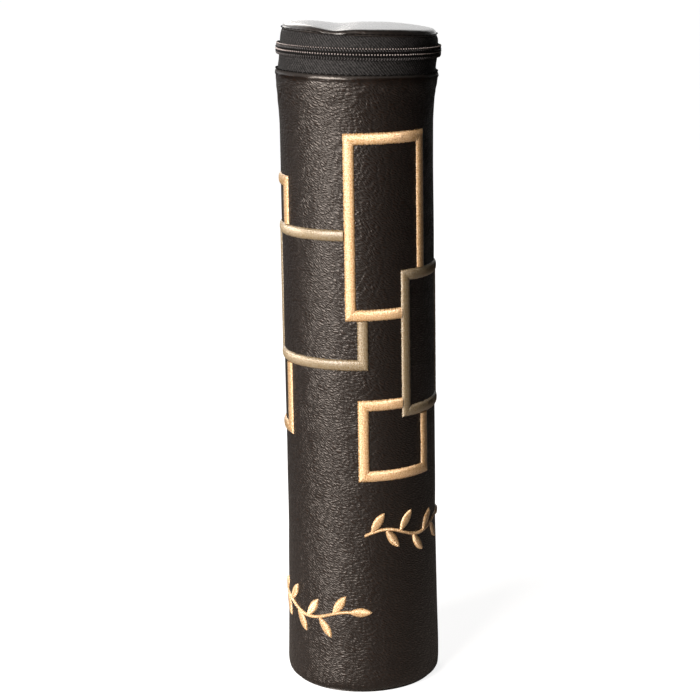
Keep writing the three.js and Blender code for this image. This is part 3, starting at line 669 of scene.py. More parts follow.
class SLEEVE_OT_build(CaseOperator, bpy.types.Operator):
    """Build the leatherette sleeve with its lapped seam, rim fold and stitching."""

    bl_idname = "scroll_case.sleeve"
    bl_label = "Sleeve"

    def execute(self, context):
        settings = self.settings(context)
        ride(self.sleeve(settings), "case", "leatherette", "body_cover")
        ride(self.rim_stitches(settings), "case", "leatherette")
        ride(self.lap_stitches(settings), "case", "leatherette")
        return {"FINISHED"}

    def profile(self):
        """Cross-section of the wall: from the hem round the foot, up over the lip and down inside."""
        base = SLEEVE_RADIUS - 1.4 * MM
        hem = base - 7 * MM
        sole = 1.3 * MM
        fold = 1.0 * MM
        foot = SLEEVE_RADIUS + FOOT_SWELL[0]
        corner = [
            (base + (foot - base) * out, sole + (FOOT_HEIGHT - sole) * up)
            for out, up in ((0, 0), (0.35, 0.03), (0.62, 0.11), (0.82, 0.26), (0.94, 0.48), (0.985, 0.72))]
        heights = levels(FOOT_HEIGHT, RIM_HEIGHT - 18 * MM, 4 * MM)
        heights += levels(RIM_HEIGHT - 18 * MM, RIM_HEIGHT - LIP_DROP, 0.8 * MM)
        rim = sleeve_radius(RIM_HEIGHT)
        lip = [
            (rim - fold * (1 - math.cos(turn)), RIM_HEIGHT - LIP_DROP * (1 - math.sin(turn)))
            for turn in (math.pi / 2 * i / 8 for i in range(9))]
        inside = reversed(levels(FOOT_HEIGHT, RIM_HEIGHT - 0.2 * MM, 9 * MM))
        return [
            (hem, sole), *corner, *[(sleeve_radius(z), z) for z in heights], *lip,
            *[(sleeve_radius(z) - LEATHER, z) for z in inside],
            (SLEEVE_RADIUS - LEATHER, 2.3 * MM), (hem, 2.3 * MM)]

    def sleeve(self, settings):
        bm = spun(self.profile(), 300)
        unroll(bm, SLEEVE_RADIUS)
        lap = 4.5 * MM / SLEEVE_RADIUS
        for vert in bm.verts:
            point = vert.co
            radius = math.hypot(point.x, point.y)
            bearing = math.atan2(point.x, -point.y)
            outer = ease((radius - sleeve_radius(point.z) + LEATHER * 0.75) / (LEATHER * 0.5))
            if point.z < FOOT_HEIGHT:
                outer *= ease((point.z - 1.5 * MM) / (4 * MM))
            behind = math.pi - abs(bearing)
            seam = SEAM_LIFT * ease((lap - behind) / (SEAM_LIFT / SLEEVE_RADIUS) + 0.5)
            below = RIM_HEIGHT - point.z
            puckered = ease((22 * MM - below) / (16 * MM)) * ease((below - 0.3 * MM) / (1.6 * MM))
            crease = settings.sleeve.pucker * puckered * ripple_round(bearing, 6, below / (3.4 * MM))
            broad = 0.16 * MM * ripple_round(bearing, 1.6, point.z / (26 * MM))
            low = 1 - ease((point.z - 6 * MM) / (10 * MM))
            dents = 0.45 * MM * ripple_round(bearing, 2.2, 4.7) * low
            if abs(below) < 1.2 * MM:
                notch = math.cos(bearing * sleeve_radius(RIM_HEIGHT) / settings.sleeve.stitch * TURN)
                point.z -= 0.10 * MM * (0.5 + 0.5 * notch)
            push(point, radius, outer * (seam + crease + broad + dents))
            slope_zip(point, settings)
        skin = leather_for(settings, "sleeve_grained_leatherette", 0.2, 0.0, RIM_HEIGHT - LIP_DROP)
        return piece("sleeve", bm, skin)

    def rim_stitches(self, settings):
        radius = sleeve_radius(RIM_HEIGHT) - 0.55 * MM

        def at(distance):
            point = around(radius, distance / radius, RIM_HEIGHT + 0.05 * MM)
            slope_zip(point, settings)
            return point, Vector((point.x, point.y, 0)).normalized() * 0.5 + Vector((0, 0, 0.87))

        starts = centred(settings, 2 * TAPE_END * radius)
        return stitching("rim_stitches", [(starts, at)], 0.55 * MM, settings, 0.62, 0.3 * MM, 0.3 * MM)

    def lap_stitches(self, settings):
        starts = upward(settings, 9 * MM, 286 * MM)
        rows = []
        for side in (-1, 1):
            def at(height, side=side):
                radius = sleeve_radius(height) + SEAM_LIFT
                bearing = math.pi + side * 3.2 * MM / radius
                return around(radius, bearing, height), around(1, bearing, 0)

            rows.append((starts, at))
        return stitching("lap_seam_stitches", rows, SEWING, settings, 0.78, 0.22 * MM, 0.2 * MM)


class INSIDE_OT_build(CaseOperator, bpy.types.Operator):
    """Build the base cover, the linings and the finish of the card tube."""

    bl_idname = "scroll_case.inside"
    bl_label = "Base and linings"

    def execute(self, context):
        board = card("card_board")
        for node in ("body_tube", "base_board", "lid_board"):
            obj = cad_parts[node]
            obj.data.materials.clear()
            obj.data.materials.append(board)
        ride(self.base(self.settings(context)), "case", "leatherette", "base_cover")
        ride(self.tube_lining(), "case", "lining", "body_lining")
        ride(self.floor_lining(), "case", "lining", "base_lining")
        return {"FINISHED"}

    def base(self, settings):
        edge = 0.45 * MM
        top = 0.95 * MM
        bm = spun([
            (0, 0), *[(SLEEVE_RADIUS * part, 0) for part in (0.3, 0.6, 0.9)],
            *arc_points((36.0 * MM, edge), edge, -90, 90, 4), (0, top)], 160)
        unroll(bm, SLEEVE_RADIUS, LEVEL)
        return piece("base_leatherette", bm, leather_for(settings))

    def tube_lining(self):
        middle = 34.0 * MM
        half = 0.4 * MM
        low = 5.0 * MM
        bm = spun([
            (middle + half, low), (middle + half, 311.0 * MM),
            *arc_points((middle, 310.9 * MM), half, 0, 180, 4), (middle - half, low)], 120)
        unroll(bm, middle)
        return piece("tube_lining", bm, lining_cloth())

    def floor_lining(self):
        width = 33.1 * MM
        low = 4.9 * MM
        high = 5.7 * MM
        bm = spun([
            (0, low), (width, low), *arc_points((width, 5.1 * MM), 0.2 * MM, -60, 60, 2),
            (32.0 * MM, 5.55 * MM), (20 * MM, high), (0, high)], 120)
        unroll(bm, SLEEVE_RADIUS, LEVEL)
        return piece("floor_lining", bm, lining_cloth())


class TAPE_OT_build(CaseOperator, bpy.types.Operator):
    """Build the two woven tapes of the zip."""

    bl_idname = "scroll_case.tapes"
    bl_label = "Zip tapes"

    # Where the case's hold ends and the lid's begins: y and height above the zip, in mm
    across = ((39.5, 0.1), (37.04, 3.44))

    def execute(self, context):
        settings = self.settings(context)
        twill = woven_tape("zip_twill", tuple(settings.zip.tape_colour))
        edge = ZIP_HEIGHT - 1.2 * MM
        seam = RIM_HEIGHT - 9 * MM
        seam_radius = sleeve_radius(seam) - LEATHER - 0.3 * MM
        body = [
            (seam_radius, seam), (TAPE_OUTER, RIM_HEIGHT),
            *[(TAPE_OUTER, z) for z in levels(RIM_HEIGHT, edge, 1.5 * MM)[1:]],
            *arc_points((TAPE_OUTER - TAPE_EDGE, edge), TAPE_EDGE, 0, 180, 4),
            (TAPE_OUTER - TAPE_THICKNESS, RIM_HEIGHT), (seam_radius - TAPE_THICKNESS, seam)]
        ride(self.tape("body_tape_cloth", body, settings, twill), "case", "zip_tape", "body_tape")
        low = ZIP_HEIGHT + 1.2 * MM
        bend = [
            (TAPE_OUTER - inward * MM, LID_EDGE + above * MM)
            for inward, above in (
                (0, -4.6), (0.12, -3.2), (0.38, -1.8), (0.8, -0.6), (1.05, -0.15), (1.9, 0.3), (1.9, 0.7))]
        lid = [
            *arc_points((TAPE_OUTER - TAPE_EDGE, low), TAPE_EDGE, 180, 360, 4),
            *[(TAPE_OUTER, z) for z in levels(low, bend[0][1], 1.5 * MM)[1:]], *bend,
            *[(radius - TAPE_THICKNESS, z) for radius, z in reversed(bend)]]
        tape = self.tape("lid_tape_cloth", lid, settings, twill)
        ends = ("lid_tape_end_left", "lid_tape_end_right")
        blend(tape, *self.across, "zip_tape", "lid_tape", *ends)
        return {"FINISHED"}

    def tape(self, name, profile, settings, twill):
        bm = spun(profile, 260, -TAPE_END, 2 * TAPE_END)
        unroll(bm, TAPE_OUTER)
        for vert in bm.verts:
            slope_zip(vert.co, settings)
        return piece(name, bm, twill)


class CHAIN_OT_build(CaseOperator, bpy.types.Operator):
    """Build the two interlocking coils and the threads that sew them to the tapes."""

    bl_idname = "scroll_case.chain"
    bl_label = "Zip coils"

    # Where the case's hold ends and the lid's begins: y and height above the zip, in mm
    across = ((41.3, 0), (35.3, 0))
    # Along, up and out of one turn of the wire
    turn = (
        (0.00, 0.00, 0.05), (0.08, 0.09, 0.62), (0.16, 0.27, 0.96), (0.25, 0.50, 1.0),
        (0.33, 0.72, 0.72), (0.41, 0.90, 0.10), (0.50, 1.00, -0.6), (0.62, 0.84, -0.95),
        (0.76, 0.48, -1.0), (0.90, 0.12, -0.75))

    def execute(self, context):
        settings = self.settings(context)
        for side, body, node in ((-1, "case", "body_coil"), (1, "lid", "lid_coil")):
            coil = self.coil(f"{body}_coil_wire", side, settings)
            sewing = self.sewing(f"{body}_coil_sewing", side, settings)
            core = self.core(f"{body}_coil_core", side, settings)
            shoulders = self.shoulders(f"{body}_coil_shoulders", side, settings)
            for obj in (coil, sewing, core, shoulders):
                if body == "case":
                    ride(obj, "case", "zip_coil")
                else:
                    blend(obj, *self.across, "zip_coil")
            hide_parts(node)
        tacks = threads("zip_end_tacks", self.tacks(), 0.3 * MM, black_thread(settings))
        ride(tacks, "case", "zip_coil")
        return {"FINISHED"}

    def tacks(self):
        """Threads wound side by side over the gap between the tapes, next to the hinge tab."""
        runs = []
        for side in (-1, 1):
            for i in range(9):
                bearing = side * (math.pi - TAB_HALF - (0.05 + 0.21 * i) * MM / TAPE_OUTER)
                runs.append([
                    around(TAPE_OUTER + out * MM, bearing, ZIP_HEIGHT + up * MM)
                    for out, up in ((-0.1, -1.9), (0.14, -1.6), (0.2, 0), (0.14, 1.6), (-0.1, 1.9))])
        return runs

    def at(self, side, along, up, out, settings):
        """Point of a half chain: along counts its pitches, up runs from its heel, 0, to its heads, 1."""
        wire = settings.zip.wire
        middle = (CHAIN_INNER + CHAIN_OUTER) / 2
        heel = CHAIN_HALF - wire / 2
        head = 0.85 * MM - wire / 2
        height = ZIP_HEIGHT + side * (heel - (heel + head) * up)
        depth = (CHAIN_OUTER - CHAIN_INNER - wire) / 2
        point = around(middle + out * depth, CHAIN_START + settings.zip.pitch * along / middle, height)
        slope_zip(point, settings)
        return point

    def coil(self, name, side, settings):
        shift = 0 if side < 0 else 0.5
        run = [
            self.at(side, shift + tooth + along, up, out, settings)
            for tooth in range(TOOTH_COUNT) for along, up, out in self.turn]
        filament = shared("coil_nylon", nylon, tuple(settings.zip.coil_colour), 0.45, 0.15)
        return threads(name, [run], settings.zip.wire, filament)

    def sewing(self, name, side, settings):
        if side > 0:
            stitch = ((0.60, 0.14, 1.2), (0.86, 0.32, 1.5), (1.12, 0.50, 1.2))
        else:
            stitch = ((0.30, 0.42, 1.2), (0.62, 0.19, 1.5), (0.30, -0.04, 0.6))
        runs = [
            [self.at(side, tooth + along, up, out, settings) for along, up, out in stitch]
            for tooth in range(TOOTH_COUNT)]
        thread = shared("grey_thread", nylon, scaled(settings.zip.tape_colour, 12), 0.5, 0.5)
        return threads(name, runs, 0.36 * MM, thread, resolution=0, taper=0.8)

    def core(self, name, side, settings):
        """Dull near-black filler cord on the face of the coil, between its bright shoulder and its sewing:
        a filler cord, darkened as painted shade for the dark gap there.
        """
        up, width = (0.62, 1.15 * MM) if side > 0 else (0.46, 0.95 * MM)
        run = [self.at(side, 0.25 + i / 2, up, 0.95, settings) for i in range(2 * TOOTH_COUNT)]
        # Painted shade: the core is in the near-black thread, darker than the coil, laid on the coil's
        # face.
        return threads(name, [run], width, black_thread(settings))

    def shoulders(self, name, side, settings):
        """Shoulder of each loop, at the upper chain's heel and the lower chain's heads: a bulge of the
        loop, in a paler, glossier nylon that is a painted highlight where the light from above falls.
        """
        up, half, width = (0.05, 0.05, 0.72 * MM) if side > 0 else (0.77, 0.07, 0.9 * MM)
        runs = [
            [self.at(side, tooth + 0.25 + shift, up + step * half, out, settings)
             for shift, step, out in ((-0.05, 1, 1.0), (0, 0, 1.35), (0.05, -1, 1.0))]
            for tooth in range(TOOTH_COUNT)]
        # Painted highlight: a nylon far paler than the coil's own, on the shoulders that face the light.
        highlight_nylon = shared("coil_polish", nylon, (0.24, 0.20, 0.19), 0.26)
        return threads(name, runs, width, highlight_nylon, taper=0.6)


class LID_OT_build(CaseOperator, bpy.types.Operator):
    """Build the padded lid, its lining and its edge stitching."""

    bl_idname = "scroll_case.lid"
    bl_label = "Lid"

    def execute(self, context):
        settings = self.settings(context)
        cover = self.cover(settings)
        ride(cover, "lid", "leatherette", "lid_cover")
        pad = self.pad(settings)
        ride(pad, "lid", "foam", "lid_padding")
        ride(self.lining(), "lid", "lining", "lid_lining")
        ride(self.edge_stitches(settings), "lid", "leatherette")
        return {"FINISHED"}

    def profile(self, inner, inner_top):
        """Cross-section of the cover: from the middle inside over the rolled edge to the middle on top."""
        shoulder = 2.4 * MM
        rolled = 0.55 * MM
        bend = 1.6 * MM
        wall_radius = LID_RADIUS - 0.35 * MM
        flat = wall_radius - shoulder
        wall = LID_TOP - LID_CROWN - shoulder
        points = [(0, inner_top)]
        points += [(inner - bend - flat * (1 - part) * 0.98, inner_top) for part in (0.3, 0.6, 0.85, 1)]
        points += arc_points((inner - bend, inner_top - bend), bend, 80, 0, 3)
        points += arc_points((LID_RADIUS - rolled, LID_EDGE + rolled), rolled, 180, 360, 5)
        points += [(wall_radius + 0.02 * MM, LID_EDGE + 1.25 * MM)]
        points += arc_points((wall_radius - shoulder, wall), shoulder, 12, 84, 7)
        for i in range(1, 19):
            radius = flat * (1 - i / 18)
            points.append((radius, LID_TOP - LID_CROWN * (radius / flat) ** 2 * 0.9))
        return points

    def cover(self, settings):
        skin = 0.8 * MM
        inner = LID_RADIUS - skin
        inner_top = LID_TOP - LID_CROWN - skin
        bm = spun(self.profile(inner, inner_top), 220)
        for vert in bm.verts:
            point = vert.co
            radius = math.hypot(point.x, point.y)
            bearing = math.atan2(point.x, -point.y)
            wave = ripple_round(bearing, 5, point.z / (2.5 * MM))
            edge = ease((radius - 33 * MM) / (5 * MM)) * ease((point.z - LID_EDGE - 0.8 * MM) / (1.2 * MM))
            if radius > 1e-6:
                push(point, radius, 0.35 * MM * wave * edge)
            if radius < inner - 2 * MM or point.z > inner_top + 0.2 * MM:
                rumple = ripple(point.x / (9 * MM), point.y / (9 * MM), 2.1)
                point.z += 0.12 * MM * rumple * ease((LID_RADIUS - radius) / (6 * MM))
            cushion(point, settings)
            slope_zip(point, settings)
        unroll(bm, LID_RADIUS, LEVEL)
        return piece("lid_leatherette", bm, leather_for(settings, "lid_grained_leatherette", 0.08, 1.0))

    def pad(self, settings):
        radius = 35.9 * MM
        edge = 0.4 * MM
        bend = 1.1 * MM
        low = LID_LINING_BOTTOM + 3.0 * MM
        high = LID_TOP - 1.8 * MM
        bm = spun([
            (0, low), (radius - edge, low), (radius, low + edge),
            *arc_points((radius - bend, high - bend), bend, 0, 90, 4),
            *[(radius * part, high) for part in (0.85, 0.65, 0.45, 0.25)], (0, high)], 120)
        for vert in bm.verts:
            if vert.co.z > low + 0.5 * MM:
                cushion(vert.co, settings)
            slope_zip(vert.co, settings)
        return piece("lid_foam", bm, foam("pad_foam"))

    def lining(self):
        radius = 36.8 * MM
        edge = 0.4 * MM
        hem = 0.3 * MM
        low = LID_LINING_BOTTOM
        high = low + 1.2 * MM
        bm = spun([
            (0, low), (radius - edge, low), (radius, low + edge), (radius, high),
            *arc_points((radius - hem, high), hem, 0, 180, 3)[1:],
            (radius - 2 * hem, low + 2 * hem), (0, low + 2 * hem)], 120)
        unroll(bm, LID_RADIUS, LEVEL)
        return piece("lid_lining_cloth", bm, lining_cloth())

    def edge_stitches(self, settings):
        def at(distance):
            bearing = distance / LID_RADIUS
            point = around(LID_RADIUS, bearing, LID_EDGE + 1.0 * MM)
            cushion(point, settings)
            slope_zip(point, settings)
            return point, around(1, bearing, 0)

        rows = [(centred(settings, 2 * (math.pi - TAB_HALF) * LID_RADIUS), at)]
        return stitching("lid_edge_stitches", rows, SEWING, settings, 0.72, 0.22 * MM, 0.25 * MM)


class TAB_OT_build(CaseOperator, bpy.types.Operator):
    """Build the hinge tab with its stitched border, and the lining strip behind it."""

    bl_idname = "scroll_case.tab"
    bl_label = "Hinge tab"

    # Where the case's hold ends and the lid's begins: y and height above the zip, in mm
    across = ((40.45, -3), (40.45, 3))

    def execute(self, context):
        settings = self.settings(context)
        low = RIM_HEIGHT - 13 * MM
        inside = [
            (sleeve_radius(z) + 0.62 * MM, z) for z in (low, low + 4 * MM, low + 8 * MM, RIM_HEIGHT)]
        inside += [
            (TAB_RADIUS - 0.45 * MM, ZIP_HEIGHT - 5 * MM), (TAB_RADIUS - 0.45 * MM, ZIP_HEIGHT),
            (TAB_RADIUS - 0.6 * MM, ZIP_HEIGHT + 4 * MM),
            (LID_RADIUS + 0.3 * MM, LID_EDGE), (LID_RADIUS + 0.3 * MM, LID_EDGE + 0.9 * MM)]
        outside = [(radius + TAB_LEATHER, z) for radius, z in inside]
        bm = spun([*outside, *reversed(inside)], 44, math.pi - TAB_HALF, 2 * TAB_HALF)
        soften(bm, 0.28 * MM, 60)
        bmesh.ops.subdivide_edges(
            bm, edges=[e for e in bm.edges if abs((e.verts[0].co - e.verts[1].co).z) > 3 * MM],
            cuts=3, use_grid_fill=True)
        unroll(bm, TAB_RADIUS)
        tab = piece("hinge_tab_leatherette", bm, leather_for(settings))
        blend(tab, *self.across, "leatherette", "hinge_tab")
        rows = self.border(settings, inside)
        stitches = stitching("hinge_tab_stitches", rows, SEWING, settings, 0.75, 0.2 * MM, 0.2 * MM)
        blend(stitches, *self.across, "leatherette")
        blend(self.lining(), *self.across, "lining", "hinge_lining")
        return {"FINISHED"}

    def lining(self):
        outer = 38.2 * MM
        inner = 37.7 * MM
        low = 311.6 * MM
        high = 327.0 * MM
        heights = [*levels(low, high, 1.5 * MM), high]
        bm = spun(
            [*[(outer, z) for z in heights], *[(inner, z) for z in reversed(heights)]],
            30, math.pi - TAB_LINING_HALF, 2 * TAB_LINING_HALF)
        unroll(bm, SLEEVE_RADIUS)
        return piece("hinge_lining_strip", bm, lining_cloth())

    def border(self, settings, inside):
        """Rows of stitches up both sides of the tab and along its lower end."""
        low = inside[0][1] + 1.6 * MM
        high = inside[-1][1] - 0.8 * MM

        def radius_at(height):
            for (r0, z0), (r1, z1) in zip(inside, inside[1:]):
                if z0 <= height <= z1:
                    return r0 + (r1 - r0) * (height - z0) / (z1 - z0) + TAB_LEATHER
            return inside[-1][0] + TAB_LEATHER

        rows = []
        for side in (-1, 1):
            def at(height, side=side):
                bearing = math.pi + side * (TAB_HALF - 1.6 * MM / TAB_RADIUS)
                return around(radius_at(height), bearing, height), around(1, bearing, 0)

            rows.append((upward(settings, low, high - low), at))

        def along(distance):
            bearing = math.pi + distance / TAB_RADIUS
            return around(radius_at(low), bearing, low), around(1, bearing, 0)

        width = 2 * (TAB_HALF * TAB_RADIUS - 1.8 * MM)
        rows.append((upward(settings, -width / 2, width), along))
        return rows


class SLIDER_OT_build(CaseOperator, bpy.types.Operator):
    """Round off the slider and its pull, and plate them."""

    bl_idname = "scroll_case.slider"
    bl_label = "Slider and pull"

    def execute(self, context):
        plate = nickel("satin_nickel")
        for node, body, name, offset in (
                ("slider_body", "slider", "slider_shell", 0.22 * MM),
                ("slider_crown", "slider", "slider_bridge", 0.1 * MM),
                ("pull_tab", "pull", "slider_pull", 0.16 * MM)):
            bm = bmesh.new()
            bm.from_mesh(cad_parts[node].data)
            bmesh.ops.remove_doubles(bm, verts=bm.verts, dist=2e-6)
            bmesh.ops.dissolve_limit(bm, angle_limit=math.radians(2), verts=bm.verts, edges=bm.edges)
            soften(bm, offset, 50)
            ride(piece(name, bm, plate), body, "slider_metal", node)
        return {"FINISHED"}


def cut_along(bm, point, normal, clear=False):
    """Cut everything along a plane, and clear what is beyond it."""
    bmesh.ops.bisect_plane(
        bm, geom=bm.verts[:] + bm.edges[:] + bm.faces[:], plane_co=point, plane_no=normal,
        clear_outer=clear)


def satin_bar(length, thread, source):
    """One satin-stitch bar in the flat with mitred ends: x along it, y across it and z its lift."""
    bar = bmesh.new()
    count = max(2, round(length / thread.pitch))
    bmesh.ops.create_grid(bar, x_segments=2 * count, y_segments=8, size=0.5)
    layer = bar.loops.layers.uv.verify()
    own = [source.uniform(-1, 1) for _ in range(count + 2)]
    ragged = [source.uniform(-1, 1) for _ in range(2 * count + 4)]
    half = thread.width / 2
    fringe = 0.16 * MM
    for vert in bar.verts:
        u = (vert.co.x + 0.5) * count
        s = vert.co.y * 2
        stitch = min(count, int(u + 1e-6))
        ridge = 0.09 * MM * (0.5 - 0.5 * math.cos(TURN * u)) + 0.05 * MM * own[stitch]
        crown = (1 - abs(s) ** 2.3) ** 0.6 if abs(s) < 1 else 0
        spread = fringe * ragged[(2 * stitch + (s > 0)) % len(ragged)] * (abs(s) ** 6)
        vert.co = Vector((
            vert.co.x * length, s * (half - fringe) + spread * math.copysign(1, s),
            (thread.height - 0.1 * MM) * crown + ridge * crown))
    for face in bar.faces:
        for loop in face.loops:
            loop[layer].uv = ((loop.vert.co.x / length + 0.5) * count, loop.vert.co.y / (2 * half) + 0.5)
    for end in (-1, 1):
        cut_along(bar, Vector((end * length / 2, half, 0)), Vector((end, -1, 0)).normalized(), clear=True)
    return bar


def keep_outside(bm, low, high):
    """Cut away what lies inside a rectangle in the flat."""
    for axis in (0, 1):
        normal = Vector((1 - axis, axis, 0))
        for edge in (low[axis], high[axis]):
            cut_along(bm, normal * edge, normal)
    hidden = []
    for face in bm.faces:
        middle = face.calc_center_median()
        if low[0] < middle.x < high[0] and low[1] < middle.y < high[1]:
            hidden.append(face)
    bmesh.ops.delete(bm, geom=hidden, context="FACES")


def join(whole, part):
    """Add one bmesh to another."""
    store = bpy.data.meshes.new("part")
    part.to_mesh(store)
    part.free()
    whole.from_mesh(store)
    bpy.data.meshes.remove(store)


def wrap(bm):
    """Give flat stitching its skirt and lay it round the sleeve."""
    edges = [edge for edge in bm.edges if edge.is_boundary]
    skirt = bmesh.ops.extrude_edge_only(bm, edges=edges)
    for part in skirt["geom"]:
        if isinstance(part, bmesh.types.BMVert):
            part.co.z = -0.15 * MM
    bmesh.ops.recalc_face_normals(bm, faces=bm.faces)
    for vert in bm.verts:
        along, height, lift = vert.co
        vert.co = around(sleeve_radius(height) + 0.05 * MM + lift, along / THREAD_RADIUS, height)
    facing = sum(
        face.normal.dot(Vector((*face.calc_center_median().xy, 0))) * face.calc_area()
        for face in bm.faces)
    if facing < 0:
        bmesh.ops.reverse_faces(bm, faces=bm.faces)


def embroidery(name, bm, settings, kind):
    """Lay flat stitching on the sleeve in place of the CAD's node of that name."""
    wrap(bm)
    obj = piece(f"{name}_stitches", bm, satin_for(settings, kind), smooth_angle=70)
    ride(obj, "case", f"{kind}_thread", name)


class FRAMES_OT_build(CaseOperator, bpy.types.Operator):
    """Build the five satin-stitched frames."""

    bl_idname = "scroll_case.frames"
    bl_label = "Embroidered frames"

    # Left, right, bottom and top of each frame on the unrolled sleeve, in mm
    places = {
        "tall_gold_frame": (-7.3, 38.3, 193.3, 285.2),
        "small_gold_frame": (-1.7, 40.5, 111.7, 153.8),
        "right_champagne_frame": (21.7, 67.3, 143.3, 217.6),
        "left_champagne_frame": (-66.0, 4.5, 168.5, 238.6),
        "left_gold_frame": (-87.6, -42.0, 131.5, 262.6),
    }
    # The frame that hides a part of each
    overlaps = {
        "tall_gold_frame": "right_champagne_frame",
        "small_gold_frame": "right_champagne_frame",
        "left_champagne_frame": "tall_gold_frame",
        "left_gold_frame": "left_champagne_frame",
    }

    def execute(self, context):
        settings = self.settings(context)
        thread = settings.thread
        half = thread.width / 2
        source = random.Random(7)
        for name in self.places:
            left, right, bottom, top = self.place(name)
            bars = (
                ((left + right) / 2, top - half, right - left, 0),
                ((left + right) / 2, bottom + half, right - left, 180),
                (left + half, (top + bottom) / 2, top - bottom, 90),
                (right - half, (top + bottom) / 2, top - bottom, -90))
            whole = bmesh.new()
            for x, y, length, turn in bars:
                bar = satin_bar(length, thread, source)
                bar.transform(Matrix.Translation((x, y, 0)) @ Matrix.Rotation(math.radians(turn), 4, "Z"))
                join(whole, bar)
            if name in self.overlaps:
                left, right, bottom, top = self.place(self.overlaps[name])
                keep_outside(whole, (left, bottom), (right, top))
            embroidery(name, whole, settings, "gold" if "gold" in name else "champagne")
        return {"FINISHED"}

    def place(self, name):
        return [value * MM for value in self.places[name]]


class SPRIGS_OT_build(CaseOperator, bpy.types.Operator):
    """Build the two leaf sprigs."""

    bl_idname = "scroll_case.sprigs"
    bl_label = "Leaf sprigs"

    leaf_length = 12.5 * MM
    leaf_width = 4.8 * MM
    spacing = 7.8 * MM
    stem_width = 1.7 * MM
    wave = 2.6 * MM
    waves = 1.5
    lean = 0.95
    # Left, right and middle height of each sprig on the unrolled sleeve, in mm
    places = {"upper_leaf_sprig": (1.0, 63.0, 84.0), "lower_leaf_sprig": (-66.0, 4.5, 41.0)}

    def execute(self, context):
        settings = self.settings(context)
        source = random.Random(11)
        for name, place in self.places.items():
            left, right, middle = (value * MM for value in place)
            length = right - left

            def stem_height(along):
                return middle + self.wave * math.sin((along - left) / length * self.waves * TURN)

            whole = bmesh.new()
            join(whole, self.stem(settings.thread, source, left, length, stem_height))
            leaves = math.floor((length - self.leaf_length) / self.spacing)
            for i in range(leaves + 1):
                last = i == leaves
                lean = 0 if last else (self.lean if i % 2 == 0 else -self.lean)
                foot = right - self.leaf_length if last else left + self.spacing * (i + 0.4)
                leaf = self.leaf(settings.thread, source)
                leaf.transform(
                    Matrix.Translation((foot, stem_height(foot), 0)) @ Matrix.Rotation(lean, 4, "Z"))
                join(whole, leaf)
            embroidery(name, whole, settings, "gold")
        return {"FINISHED"}

    def grid(self, thread, source, length, path, half_width, lift):
        """Satin stitches across a path: path(t) gives a point, half_width(t) half its width."""
        count = max(2, round(length / thread.pitch))
        bm = bmesh.new()
        bmesh.ops.create_grid(bm, x_segments=2 * count, y_segments=6, size=0.5)
        layer = bm.loops.layers.uv.verify()
        for face in bm.faces:
            for loop in face.loops:
                loop[layer].uv = ((loop.vert.co.x + 0.5) * count, loop.vert.co.y + 0.5)
        own = [source.uniform(-1, 1) for _ in range(count + 2)]
        for vert in bm.verts:
            t = vert.co.x + 0.5
            s = vert.co.y * 2
            u = t * count
            half = half_width(t)
            stitch = min(count, int(u + 1e-6))
            crown = math.sqrt(max(0.0, 1 - abs(s) ** 2.6)) * min(1.0, half / (0.9 * MM))
            ridge = 0.08 * MM * (0.5 - 0.5 * math.cos(TURN * u)) + 0.04 * MM * own[stitch]
            x, y = path(t)
            vert.co = Vector((
                x + 0.3 * half * abs(s), y + s * (half + 0.08 * MM * own[stitch] * abs(s)),
                (lift + ridge) * crown))
        bmesh.ops.remove_doubles(bm, verts=bm.verts, dist=4e-6)
        return bm

    def leaf(self, thread, source):
        def path(t):
            return 2 * t * (1 - t) * 0.45 * self.leaf_length + t * t * self.leaf_length, 0

        def half_width(t):
            return 2 * t * (1 - t) * self.leaf_width

        return self.grid(thread, source, self.leaf_length, path, half_width, thread.height - 0.15 * MM)

    def stem(self, thread, source, left, length, stem_height):
        reach = length - self.leaf_length / 2

        def path(t):
            return left + reach * t, stem_height(left + reach * t)

        def half_width(t):
            return self.stem_width / 2

        return self.grid(thread, source, reach, path, half_width, thread.height - 0.3 * MM)


